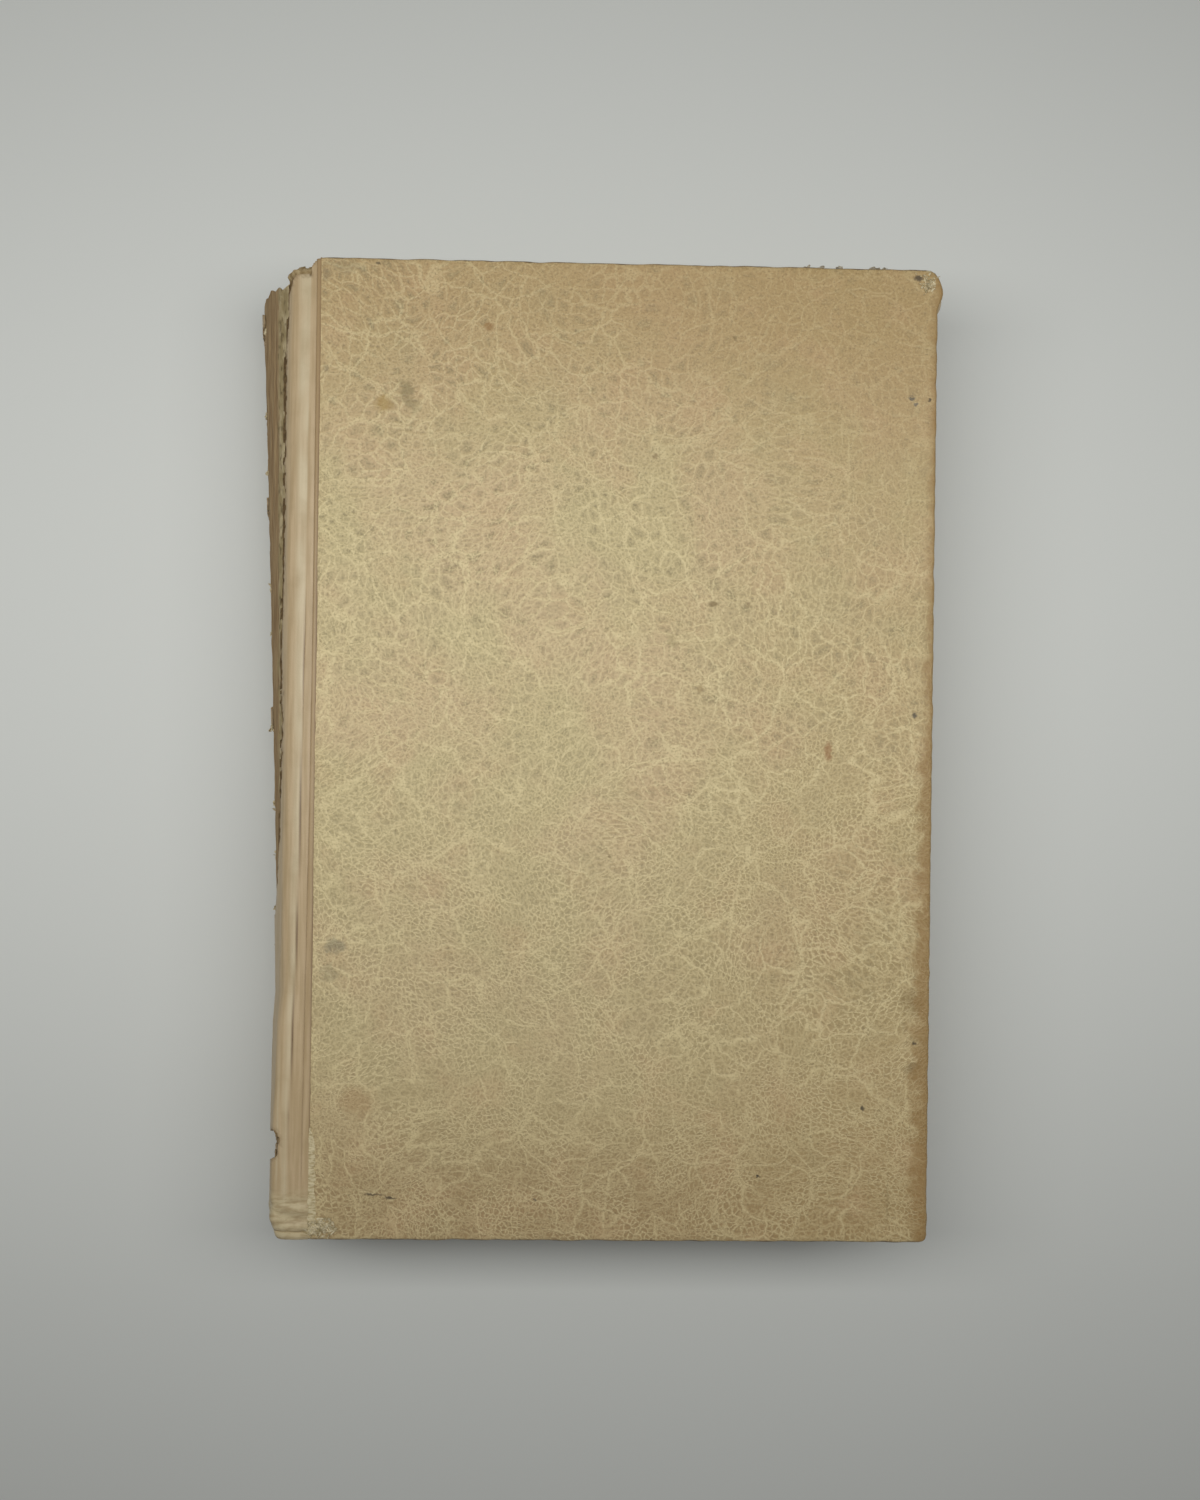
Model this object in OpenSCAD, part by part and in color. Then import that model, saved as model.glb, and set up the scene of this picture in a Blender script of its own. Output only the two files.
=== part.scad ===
// Old hardback book lying on its rear cover, head towards +Y, spine towards -X, all in millimetres.
// The case is bound in one sheet of cream paper with an embossed leather grain. The front joint is
// cracked, the spine covering is torn away over the upper two thirds of the back, and the block
// leans: each lower page lies further towards the spine, and more so at the head than at the tail.
// Every spine layer is a shell over the same rounded back, which is worked out leaf by leaf.

/* [Case boards] */
// Board from its spine edge to its fore edge
board_w = 126.7; // [110:0.1:150]
// Board from tail to head
board_h = 200.4; // [180:0.1:220]
// Thickness of each board
board_t = 2.2; // [1.6:0.1:3.2]
// Rounding of the three sound corners
corner_r = 1.2; // [0.6:0.1:3]
// Rounding of the bumped head corner of the front board
bumped_r = 2.6; // [1.2:0.1:5]
// Swelling of the board just below the bumped corner
bump_swell = 1; // [0.2:0.1:1.5]

/* [Covering paper] */
// Thickness of the embossed covering paper
paper_t = 0.3; // [0.2:0.05:0.5]
// Width of the covering turned in over the inner face of a board
turn_in = 14; // [10:1:18]
// Width of the mitre seams in the turned-in corners
mitre_gap = 0.25; // [0.1:0.05:0.6]
// Thickness of the covering over the spine, with the ply glued under it
spine_paper_t = 0.4; // [0.3:0.05:0.6]

/* [Page block] */
// Thickness of the pages between the two flyleaves
block_t = 22.6; // [14:0.2:40]
// How far the boards stand out past the pages at head, tail and fore edge
square_w = 3; // [2:0.5:5]
// Distance from a board's spine edge to the shoulder of the block
joint_w = 5.6; // [4:0.1:8]
// Rounding of the back at the head
round_head = 4.3; // [2:0.1:6]
// Rounding of the back at the tail
round_tail = 1.5; // [0.5:0.1:4]
// How far the rear board is shifted towards the spine at the head
lean_head = 9.2; // [0:0.1:12]
// How far the rear board is shifted towards the spine at the tail
lean_tail = 1.2; // [0:0.1:12]

/* [Endpapers] */
// Thickness of the pastedowns and flyleaves
leaf_t = 0.2; // [0.15:0.05:0.4]
// Air between a closed cover and its flyleaf
cover_gap = 0.3; // [0.2:0.05:0.6]

/* [Spine layers] */
// Thickness of the open cloth glued to the back
mull_t = 0.25; // [0.15:0.05:0.4]
// Width of the cloth glued to each board
mull_flap_w = 20; // [10:1:30]
// Gap between the ends of the cloth and the turned-in covering
mull_clear = 0.6; // [0.3:0.1:4]
// Thickness of the brown paper that lines the back
lining_t = 0.35; // [0.2:0.05:0.6]
// How far the lining stops short of the pages at head and tail
lining_inset = 0.8; // [0.4:0.1:4]
// Thickness of the card inlay that stiffens the covering
inlay_t = 0.5; // [0.3:0.05:0.8]
// Hollow between the lining and the inlay at the tail
hollow = 1.1; // [0.3:0.1:1.5]
// Height of the folded lip of covering that holds the tail end of the inlay
lip_h = 0.6; // [0.4:0.1:1.5]

/* [Damage to the spine] */
// Height of the torn end of the covering below the head of the board
head_loss = 3.7; // [2:0.1:8]
// Height of the crumpled stub of covering below the head of the board
stub_loss = 1.8; // [1:0.1:3.5]
// Distance from the tail to where the covering still wraps the whole back
whole_len = 62; // [40:1:90]
// Length of card inlay left at the tail
inlay_len = 44; // [25:1:60]
// Distance from the tail to where the front joint is still sound
sound_joint = 22; // [8:1:40]
// Width of the splits in the cracked joint
split_w = 0.22; // [0.1:0.02:0.4]
// Depth below the cover's face to which the second split goes
split_deep = 0.5; // [0.3:0.05:0.6]

/* [Hidden] */
$fn = 48;

leaves = 14;                 // steps through the thickness of the block
stations = 9;                // steps from tail to head
edge_gap = 0.3;              // running clearance between a cover and the spine covering
far = 400;                   // larger than the book, for cutting
cover_t = board_t + 2 * paper_t + leaf_t;
page_w = joint_w + board_w - square_w;
page_h = board_h - 2 * square_w;
case_h = board_h + 2 * paper_t;
mull_h = board_h - 2 * (turn_in + mull_clear);
rear_leaf_z = cover_t + cover_gap;
block_z = rear_leaf_z + leaf_t;
front_leaf_z = block_z + block_t;
back_top_z = front_leaf_z + leaf_t;
book_t = back_top_z + cover_gap + cover_t;
lean_mid = (lean_head + lean_tail) / 2;
twist = atan((lean_head - lean_tail) / board_h);
lining_out = mull_t + lining_t;

// The rounded, leaning back. s runs from 0 at the rear flyleaf to 1 at the front flyleaf, and v
// runs from -1 at the tail to 1 at the head.
function mix(a, b, f) = a + (b - a) * f;
function lean_at(v) = mix(lean_tail, lean_head, (v + 1) / 2);
function round_at(v) = mix(round_tail, round_head, (v + 1) / 2);
function back_x(s, v) = -joint_w - lean_at(v) * (1 - s) - round_at(v) * (1 - pow(2 * s - 1, 2));
function back_z(s) = mix(rear_leaf_z, back_top_z, s);
// Each leaf is a rectangle turned about its own middle so that its spine edge follows the back.
function leaf_turn(s) = atan((back_x(s, -1) - back_x(s, 1)) / board_h);
function leaf_mid(s) = back_x(s, 0) + page_w / 2;
function leaf_point(s, side, u) =
    [leaf_mid(s) + side * page_w / 2 * cos(leaf_turn(s)) - u * sin(leaf_turn(s)),
     side * page_w / 2 * sin(leaf_turn(s)) + u * cos(leaf_turn(s)),
     back_z(s)];
function spine_point(s, u) = leaf_point(s, -1, u);
function fore_point(s, u) = leaf_point(s, 1, u);

// Line round the spine at station u, from the front joint over the back to the rear joint
joint_end = 0.8;
function shift(p, dx, dz) = [p[0] + dx, p[1], p[2] + dz];
function spine_line(u) = concat(
    [shift(spine_point(1, u), joint_w - joint_end, 0)],
    [for (i = [0 : leaves]) spine_point(1 - i / leaves, u)],
    [shift(spine_point(0, u), joint_w - joint_end, 0)]);
// Outward direction of a stretch from a to b, and of the corner between two stretches
function stretch_out(a, b) = let (d = [b[0] - a[0], b[2] - a[2]]) [d[1], -d[0]] / norm(d);
function corner_out(m, n) = (m + n) / (1 + m * n);
function line_out(line, i) =
    i == 0 ? stretch_out(line[0], line[1])
    : i == len(line) - 1 ? stretch_out(line[i - 1], line[i])
    : corner_out(stretch_out(line[i - 1], line[i]), stretch_out(line[i], line[i + 1]));
function raised(line, d) = [for (i = [0 : len(line) - 1])
    let (n = line_out(line, i)) [line[i][0] + n[0] * d, line[i][1], line[i][2] + n[1] * d]];

// Closed solid between an outer and an inner grid of points. Each has one row per station.
module layered(outer, inner) {
    rows = len(outer);
    n = len(outer[0]);
    points = [for (k = [0 : rows - 1]) each concat(outer[k], inner[k])];
    function o(k, i) = k * 2 * n + i;
    function q(k, i) = k * 2 * n + n + i;
    skins = [for (k = [0 : rows - 2], i = [0 : n - 2]) each [
        [o(k, i), o(k + 1, i), o(k + 1, i + 1)], [o(k, i), o(k + 1, i + 1), o(k, i + 1)],
        [q(k, i), q(k + 1, i + 1), q(k + 1, i)], [q(k, i), q(k, i + 1), q(k + 1, i + 1)]]];
    edges = [for (k = [0 : rows - 2]) each [
        [o(k, 0), q(k, 0), q(k + 1, 0)], [o(k, 0), q(k + 1, 0), o(k + 1, 0)],
        [o(k, n - 1), q(k + 1, n - 1), q(k, n - 1)], [o(k, n - 1), o(k + 1, n - 1), q(k + 1, n - 1)]]];
    last = rows - 1;
    ends = [for (i = [0 : n - 2]) each [
        [o(0, i), o(0, i + 1), q(0, i + 1)], [o(0, i), q(0, i + 1), q(0, i)],
        [o(last, i), q(last, i + 1), o(last, i + 1)], [o(last, i), q(last, i), q(last, i + 1)]]];
    polyhedron(points, concat(skins, edges, ends));
}

// Stations from tail to head: the whole height of the case, and the height of the pages
case_u = [for (k = [0 : stations]) mix(-case_h / 2, case_h / 2, k / stations)];
page_u = concat([-page_h / 2], [for (u = case_u) if (abs(u) < page_h / 2 - 1) u], [page_h / 2]);

module back_shell(from_d, to_d) {
    layered([for (u = case_u) raised(spine_line(u), to_d)],
            [for (u = case_u) raised(spine_line(u), from_d)]);
}

module trim_to(height) {
    intersection() {
        children();
        translate([-far / 2, -height / 2, -far / 2]) cube([far, height, far]);
    }
}

// Moves the book's middle onto the origin
reach_left = min([for (p = raised(spine_line(case_h / 2), lining_out)) p[0]]);
reach_right = board_w + paper_t + bump_swell;
module in_frame() {
    translate([-(reach_left + reach_right) / 2, 0, 0]) children();
}
// Places a cover drawn with its spine edge on x = 0 and its outer face on z = 0, inner face up
module at_rear() {
    in_frame() translate([-lean_mid + board_w / 2, 0, 0]) rotate([0, 0, twist])
        translate([-board_w / 2, 0, 0]) children();
}
module at_front() {
    in_frame() translate([0, 0, book_t]) mirror([0, 0, 1]) children();
}

// What is left outside a round corner of radius r, in the corner towards +X +Y
module corner_waste(r) {
    difference() {
        square(2 * r);
        circle(r);
    }
}
// Outline of a board with its rounded corners, grown by the covering around it. The swelling below
// the bumped corner is an arc of radius swell_r, centred swell_y below the head of the board.
swell_r = 5;
swell_y = 6.2;
module outline(grow, head_r, swell) {
    w = board_w + grow;
    h = board_h / 2 + grow;
    tail_r = corner_r + grow;
    top_r = head_r + grow;
    difference() {
        translate([0, -h]) square([w, 2 * h]);
        translate([w - tail_r, tail_r - h]) mirror([0, 1]) corner_waste(tail_r);
        translate([w - top_r, h - top_r]) corner_waste(top_r);
    }
    if (swell > 0) translate([board_w + swell - swell_r, board_h / 2 - swell_y]) circle(swell_r + grow);
}

module board_solid(head_r, swell) {
    translate([0, 0, paper_t]) linear_extrude(board_t) outline(0, head_r, swell);
}
// The part of the inner face that the turned-in covering leaves bare
module turned_in_window() {
    translate([-1, -board_h / 2 + turn_in, board_t + paper_t - 0.01])
        cube([board_w - turn_in + 1, board_h - 2 * turn_in, 2 * paper_t]);
}
module mitre_seam(side) {
    translate([board_w - turn_in, side * (board_h / 2 - turn_in), board_t + paper_t - 0.01])
        rotate([0, 0, side * 45]) translate([-1, -mitre_gap / 2, 0])
            cube([1 + sqrt(2) * turn_in - corner_r, mitre_gap, 2 * paper_t]);
}
module covering(head_r, swell) {
    difference() {
        linear_extrude(board_t + 2 * paper_t) outline(paper_t, head_r, swell);
        board_solid(head_r, swell);
        turned_in_window();
        for (side = [-1, 1]) mitre_seam(side);
    }
}
module mull_flap() {
    translate([0, -mull_h / 2, board_t + paper_t]) cube([mull_flap_w, mull_h, mull_t]);
}
// Sheet pasted over the board, its flap of cloth and the turned-in covering
module pastedown() {
    w = board_w - square_w;
    step_x = mull_flap_w + leaf_t;
    difference() {
        translate([0, -page_h / 2, board_t + paper_t]) cube([w, page_h, paper_t + leaf_t]);
        difference() {
            translate([-1, -far / 2, board_t + paper_t - 0.01]) cube([far, far, paper_t + 0.01]);
            turned_in_window();
        }
        mull_flap();
        translate([step_x, -board_h / 2 + turn_in + leaf_t, board_t + paper_t + leaf_t])
            cube([board_w - turn_in - leaf_t - step_x, board_h - 2 * (turn_in + leaf_t), far]);
    }
}

// Covering of the spine, from the front joint round the back to the rear joint. It lies close on
// the lining and bulges over the card inlay that is left at the tail. Depths are measured inwards
// from its outer face.
tail_y = -case_h / 2;
head_y = case_h / 2;
close_rise = 0.1;            // air between the covering and the lining where they lie close
joint_drop = 0.05;           // how far the covering lies below the cover's face at the joint
seat = 0.02;                 // air round the card inlay
inlay_end = tail_y + inlay_len;
bulge_rise = hollow + inlay_t;
cover_rise = [[tail_y, bulge_rise], [tail_y + lip_h, bulge_rise], [tail_y + lip_h + paper_t, bulge_rise],
              [tail_y + 0.25 * inlay_len, bulge_rise], [tail_y + 0.6 * inlay_len, 0.8 * bulge_rise],
              [inlay_end, inlay_t + 2 * close_rise], [inlay_end + 6, close_rise], [0, close_rise],
              [head_y / 2, close_rise], [head_y, close_rise]];
function rise_at(u) = lookup(u, cover_rise);
function joint_front(u, depth) = [-edge_gap, u, book_t - joint_drop - depth];
function joint_rear(u, depth) = [-lean_at(2 * u / board_h) - edge_gap - 0.1, u, 3 * joint_drop + depth];
function cover_line(u, depth) =
    let (back = raised(spine_line(u), lining_out + rise_at(u) + spine_paper_t - depth))
    concat([joint_front(u, depth)], [for (i = [1 : leaves + 1]) back[i]], [joint_rear(u, depth)]);
cover_u = [for (row = cover_rise) row[0]];
inlay_depth = spine_paper_t + inlay_t;
// Depth of the inner face, which steps in at the tail where the covering is folded round the inlay
function inner_depth(u) = u > tail_y + lip_h ? spine_paper_t : inlay_depth + paper_t;
module cover_shell() {
    layered([for (u = cover_u) cover_line(u, 0)], [for (u = cover_u) cover_line(u, inner_depth(u))]);
}

// What is torn away, seen from above, as offsets from the front board's spine edge
torn_edge = [
    [-1.6, head_y + 1], [-1.7, head_y - stub_loss - 0.5], [-2.6, head_y - stub_loss],
    [-3.4, head_y - stub_loss - 0.6], [-4.4, head_y - stub_loss - 0.2], [-4.7, head_y - head_loss + 0.4],
    [-6.3, head_y - head_loss - 0.6], [-6.7, head_y - 7], [-7.1, head_y - 19], [-7, head_y - 50],
    [-7.2, head_y - 66], [-7.5, head_y - 82], [-6.9, head_y - 95], [-7.2, head_y - 109],
    [-7.5, head_y - 114], [-7.9, head_y - 122], [-8.4, tail_y + whole_len + 9],
    [-9.6, tail_y + whole_len + 3], [-12, tail_y + whole_len + 1.5], [-30, tail_y + whole_len - 3],
    [-30, head_y + 1]];
// Upper edge of the covering left along the rear of the back, as points along the book and up
mid_z = book_t / 2;
rear_edge = [
    [tail_y, far], [tail_y, mid_z - 1], [tail_y + whole_len - 6, mid_z - 3],
    [tail_y + whole_len + 9, mid_z - 5.6], [3, mid_z - 5], [4.8, mid_z + 0.8], [8, mid_z + 1],
    [9, mid_z - 4.8], [30, mid_z - 6], [50, mid_z - 5.4], [52.6, mid_z - 1], [55.4, mid_z - 5.2],
    [75, mid_z - 6.2], [89.5, mid_z - 5], [91, mid_z + 0.6], [93.4, mid_z + 0.8],
    [94.4, mid_z - 5.6], [head_y - 3, mid_z - 6.4], [head_y - 2.2, -far / 2], [head_y + 1, -far / 2],
    [head_y + 1, far]];
// Notch between the curled flap and the part that still holds at the tail
notch = [[-30, tail_y + 23.5], [-11, tail_y + 23.6], [-9.4, tail_y + 22.4], [-9, tail_y + 20.6],
         [-9.6, tail_y + 18.6], [-11.5, tail_y + 17.2], [-30, tail_y + 16.8]];
// Second split of the cracked joint, beside the open one along the board
split = [[-0.85, head_y + 1], [-0.85 - split_w, head_y + 1], [-1, 0], [-1.35 - split_w, tail_y + sound_joint],
         [-1.3, tail_y + sound_joint], [-1 + split_w, 0]];
// Torn end of the card inlay
inlay_tear = [[0, inlay_end - 3], [-7, inlay_end - 1], [-9, inlay_end - 2.5], [-12, inlay_end - 0.5],
              [-30, inlay_end - 4], [-30, head_y], [0, head_y]];
module prism(points, from_z) {
    translate([0, 0, from_z]) linear_extrude(far) polygon(points);
}
module side_prism(points) {
    mirror([1, 0, 0]) rotate([90, 0, 90]) linear_extrude(far) polygon(points);
}

// The pages fill the height between the flyleaves
function fit_z(p) = [p[0], p[1], min(max(p[2], block_z), front_leaf_z)];
module text_block() {
    color("oldlace") in_frame() layered(
        [for (u = page_u) [for (i = [0 : leaves]) fit_z(spine_point(1 - i / leaves, u))]],
        [for (u = page_u) [for (i = [0 : leaves]) fit_z(fore_point(1 - i / leaves, u))]]);
}

module leaf(s, z) {
    translate([leaf_mid(s), 0, z]) rotate([0, 0, leaf_turn(s)])
        translate([-page_w / 2, -page_h / 2, 0]) cube([page_w, page_h, leaf_t]);
}
module front_flyleaf() {
    color("antiquewhite") in_frame() leaf(1, front_leaf_z);
}
module rear_flyleaf() {
    color("antiquewhite") in_frame() leaf(0, rear_leaf_z);
}
module mull() {
    color("wheat") in_frame() trim_to(mull_h) back_shell(0, mull_t);
}
module spine_lining() {
    color("peru") in_frame() trim_to(page_h - 2 * lining_inset) back_shell(mull_t, lining_out);
}
inlay_u = [tail_y + lip_h + paper_t + seat, cover_u[3], cover_u[4], inlay_end];
function back_only(line) = [for (i = [1 : leaves + 1]) line[i]];
module spine_inlay() {
    color("burlywood") in_frame() difference() {
        layered([for (u = inlay_u) back_only(cover_line(u, spine_paper_t + seat))],
                [for (u = inlay_u) back_only(cover_line(u, inlay_depth - seat))]);
        prism(notch, -far / 2);
        prism(inlay_tear, -far / 2);
    }
}
module spine_cover() {
    color("tan") in_frame() difference() {
        cover_shell();
        intersection() {
            prism(torn_edge, -far / 2);
            side_prism(rear_edge);
        }
        prism(notch, -far / 2);
        prism(split, book_t - split_deep);
    }
}
module front_board() {
    color("gray") at_front() board_solid(bumped_r, bump_swell);
}
module front_cover_paper() {
    color("tan") at_front() covering(bumped_r, bump_swell);
}
module front_mull_flap() {
    color("wheat") at_front() mull_flap();
}
module front_pastedown() {
    color("antiquewhite") at_front() pastedown();
}
module rear_board() {
    color("gray") at_rear() board_solid(corner_r, 0);
}
module rear_cover_paper() {
    color("tan") at_rear() covering(corner_r, 0);
}
module rear_mull_flap() {
    color("wheat") at_rear() mull_flap();
}
module rear_pastedown() {
    color("antiquewhite") at_rear() pastedown();
}

text_block();
front_flyleaf();
rear_flyleaf();
mull();
spine_lining();
spine_inlay();
spine_cover();
front_board();
front_cover_paper();
front_mull_flap();
front_pastedown();
rear_board();
rear_cover_paper();
rear_mull_flap();
rear_pastedown();
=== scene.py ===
# %% [markdown]
# # An old hardback book, modelled in Blender
# The book lies on its rear cover. Its case is bound in one sheet of cream paper embossed like
# leather. The front joint is cracked, the covering of the spine is torn away over the upper part of
# the back, and the block leans, so the back shows beside the front cover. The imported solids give
# the sizes and the moving parts. Here each visible piece gets its real surface.

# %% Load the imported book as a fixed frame
import math
from functools import partial
import bpy
import numpy as np
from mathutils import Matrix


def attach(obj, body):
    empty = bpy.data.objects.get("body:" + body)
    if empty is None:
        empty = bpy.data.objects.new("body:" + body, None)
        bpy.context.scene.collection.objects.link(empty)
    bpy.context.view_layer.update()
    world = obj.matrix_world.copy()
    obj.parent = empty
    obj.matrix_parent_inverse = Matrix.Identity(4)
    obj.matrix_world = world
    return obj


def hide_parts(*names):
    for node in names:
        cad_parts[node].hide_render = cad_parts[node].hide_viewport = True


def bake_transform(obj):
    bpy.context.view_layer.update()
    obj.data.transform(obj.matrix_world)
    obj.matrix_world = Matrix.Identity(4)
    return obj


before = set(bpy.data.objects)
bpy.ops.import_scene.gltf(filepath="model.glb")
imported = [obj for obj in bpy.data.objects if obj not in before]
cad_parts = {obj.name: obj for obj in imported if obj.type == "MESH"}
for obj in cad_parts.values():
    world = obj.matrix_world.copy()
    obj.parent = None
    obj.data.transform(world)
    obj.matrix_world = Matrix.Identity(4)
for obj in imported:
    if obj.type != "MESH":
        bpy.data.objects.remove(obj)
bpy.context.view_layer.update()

# %% [markdown]
# ## Sizes
# All sizes are measured in millimetres, as on a bookbinder's bench, and turned into metres where a
# mesh is written. They repeat the values that the solids were built from.

# %% Sizes of the book
MM = 0.001
BOARD_W, BOARD_H, BOARD_T = 126.7, 200.4, 2.2
PAPER_T, TURN_IN, JOINT_W = 0.3, 14, 5.6       # covering, what is turned in, and the joint's width
BOOK_T, PAGE_W, PAGE_H = 29.6, 129.3, 194.4
CASE_H = BOARD_H + 2 * PAPER_T
COVER_T = BOARD_T + 2 * PAPER_T
REAR_LEAF_Z, BACK_TOP_Z = 3.3, 26.3            # outer faces of the rear and the front flyleaf
BLOCK_LOW, BLOCK_HIGH = 3.5, 26.1              # the pages between them
LEAN_HEAD, LEAN_TAIL = 9.2, 1.2                # how far the rear board is pushed to the spine
ROUND_HEAD, ROUND_TAIL = 4.3, 1.5              # how far the back is rounded out
LAYERS_T, SPINE_T = 0.6, 0.4                   # mull and lining, and the covering over them
LEAN_MID = round((LEAN_HEAD + LEAN_TAIL) / 2, 3)
TWIST = math.radians(round(math.degrees(math.atan((LEAN_HEAD - LEAN_TAIL) / BOARD_H)), 5))
MIDDLE_X = -55.86      # the front board's spine edge, once the book's middle is on the origin
HEAD, TAIL = CASE_H / 2, -CASE_H / 2
print("case", CASE_H, "mm high, book", BOOK_T, "mm thick")

# %% [markdown]
# ## Working by code as by hand
# Everything is deselected first, because an operator acts on all that is selected. A sheet of
# paper starts as a grid primitive, whose points are then carried to their places, as one lays and
# folds real paper. Solidify then gives it the thickness of the paper.

# %% Lay a sheet and keep values on it
def lay_sheet(name, across, along, place):
    """A grid of across x along cells, each point carried to place(i, j) in millimetres."""
    bpy.ops.object.select_all(action="DESELECT")
    bpy.ops.mesh.primitive_grid_add(x_subdivisions=across, y_subdivisions=along, size=2)
    sheet = bpy.context.object
    sheet.name = sheet.data.name = name
    corners = points_of(sheet)
    i = np.rint((corners[:, 0] + 1) / 2 * across).astype(int)
    j = np.rint((corners[:, 1] + 1) / 2 * along).astype(int)
    move_points(sheet, place(i, j) * MM)
    return sheet, i, j


def points_of(piece):
    """All points of a piece, in metres."""
    points = np.zeros(len(piece.data.vertices) * 3)
    piece.data.vertices.foreach_get("co", points)
    return points.reshape(-1, 3)


def move_points(piece, points):
    """Puts every point of a piece to its new place, in metres."""
    piece.data.vertices.foreach_set("co", np.ascontiguousarray(points, dtype=np.float32).ravel())
    piece.data.update()


def keep_value(piece, name, values):
    """Stores one number or one vector per point, for the materials to read."""
    values = np.asarray(values, dtype=np.float32)
    kind = "FLOAT" if values.ndim == 1 else "FLOAT_VECTOR"
    layer = piece.data.attributes.new(name, kind, "POINT")
    layer.data.foreach_set("value" if values.ndim == 1 else "vector", values.ravel())


print("sheets can be laid, and values kept on them")

# %% [markdown]
# Torn paper is cut out of its sheet by deleting faces. A modifier is applied as soon as it is set,
# so that the mesh is final. One last helper shades a piece, gives it its material and hangs it on
# the body that it moves with.

# %% Cut, thicken, turn and finish a sheet
def cut_away(piece, gone):
    """Deletes the faces whose points are all marked as gone."""
    bpy.ops.object.mode_set(mode="EDIT")
    bpy.ops.mesh.select_all(action="DESELECT")
    bpy.ops.mesh.select_mode(type="VERT")
    bpy.ops.object.mode_set(mode="OBJECT")
    piece.data.vertices.foreach_set("select", np.asarray(gone, dtype=bool))
    bpy.ops.object.mode_set(mode="EDIT")
    bpy.ops.mesh.select_mode(type="FACE")
    bpy.ops.mesh.delete(type="FACE")
    bpy.ops.mesh.select_mode(type="VERT")
    bpy.ops.mesh.select_all(action="SELECT")
    bpy.ops.mesh.select_loose()
    bpy.ops.mesh.delete(type="VERT")
    bpy.ops.object.mode_set(mode="OBJECT")


def modify(piece, kind, **settings):
    """Adds one modifier, sets it and applies it."""
    bpy.ops.object.select_all(action="DESELECT")
    bpy.context.view_layer.objects.active = piece
    piece.select_set(True)
    modifier = piece.modifiers.new(kind.title(), kind)
    for setting, value in settings.items():
        setattr(modifier, setting, value)
    bpy.ops.object.modifier_apply(modifier=modifier.name)


def give_thickness(sheet, thickness, aside=0.0):
    """Carries a sheet aside and thickens it inwards, both in millimetres."""
    points = points_of(sheet)
    points[:, 0] += aside * MM
    move_points(sheet, points)
    modify(sheet, "SOLIDIFY", thickness=thickness * MM, offset=-1, use_even_offset=False)


def turned(x, y, angle, middle=0.0):
    """Points turned in the plane of the table, then carried along x to the middle."""
    return middle + x * np.cos(angle) - y * np.sin(angle), x * np.sin(angle) + y * np.cos(angle)


def finish_piece(piece, body, material, replaced=(), smooth=40):
    """Shades a finished piece, dresses it and hangs it on its body."""
    bpy.ops.object.select_all(action="DESELECT")
    bpy.context.view_layer.objects.active = piece
    piece.select_set(True)
    bpy.ops.object.transform_apply(location=True, rotation=True, scale=True)
    bpy.ops.object.shade_smooth_by_angle(angle=math.radians(smooth))
    piece.data.materials.clear()
    piece.data.materials.append(material)
    if body:
        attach(piece, body)
    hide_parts(*replaced)
    triangles = sum(len(face.vertices) - 2 for face in piece.data.polygons)
    print(piece.name, "made:", triangles, "triangles")


print("one unit turned by a right angle:", np.round(turned(1.0, 0.0, math.pi / 2), 3))

# %% [markdown]
# Nothing on an old book is quite even. A few sine waves of random heading and pitch, added up, give
# a soft unevenness that is the same on every run.

# %% Eased steps and smooth random waves
def smooth_step(x, low, high):
    """Rises from 0 at low to 1 at high. With high below low it falls instead."""
    t = np.clip((x - low) / (high - low), 0, 1)
    return t * t * (3 - 2 * t)


def hump(x, middle, reach):
    """1 at the middle, falling off to both sides like a rounded ridge."""
    return np.exp(-((x - middle) / reach) ** 2)


def waves(x, y, size, seed):
    """Smooth random values of about -1 to 1 over the plane, with bumps of the given size."""
    chance = np.random.default_rng(seed)
    ripples = 14
    total = np.zeros(np.shape(x))
    for _ in range(ripples):
        angle = chance.uniform(0, 2 * math.pi)
        pitch = size * chance.uniform(0.7, 1.7)
        phase = chance.uniform(0, 2 * math.pi)
        total += np.sin((x * math.cos(angle) + y * math.sin(angle)) * 2 * math.pi / pitch + phase)
    return total / (ripples / 4)


print("waves of 10 mm at the origin:", round(float(waves(0.0, 0.0, 10, 1)), 3))

# %% [markdown]
# ## Camera and light
# The photograph looks straight down from about 24 cm above the cover, with a wide lens, so the
# leaning back shows beside the front cover.

# %% Camera above the cover
CAMERA_AT = (-2.166, -0.214, 266.6)            # millimetres
CAMERA_TURN = (0.111, -1.115, 0.752)           # degrees away from looking straight down
SENSOR, FOCAL_PIXELS, FRAME_PIXELS = 36, 1155, 1500
bpy.ops.object.select_all(action="DESELECT")
bpy.ops.object.camera_add(location=[v * MM for v in CAMERA_AT])
camera = bpy.context.object
camera.rotation_euler = [math.radians(a) for a in CAMERA_TURN]
camera.data.lens = SENSOR * FOCAL_PIXELS / FRAME_PIXELS
camera.data.clip_start, camera.data.clip_end = 0.01, 10
bpy.context.scene.camera = camera
print("lens", round(camera.data.lens, 1), "mm")

# %% [markdown]
# The shadows are soft and weak, and fall a little towards the tail and the fore edge. One long area
# lamp gives them, hung a little towards the head and the spine. The view transform is Standard, so
# that a hex colour shows as it is written.

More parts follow.
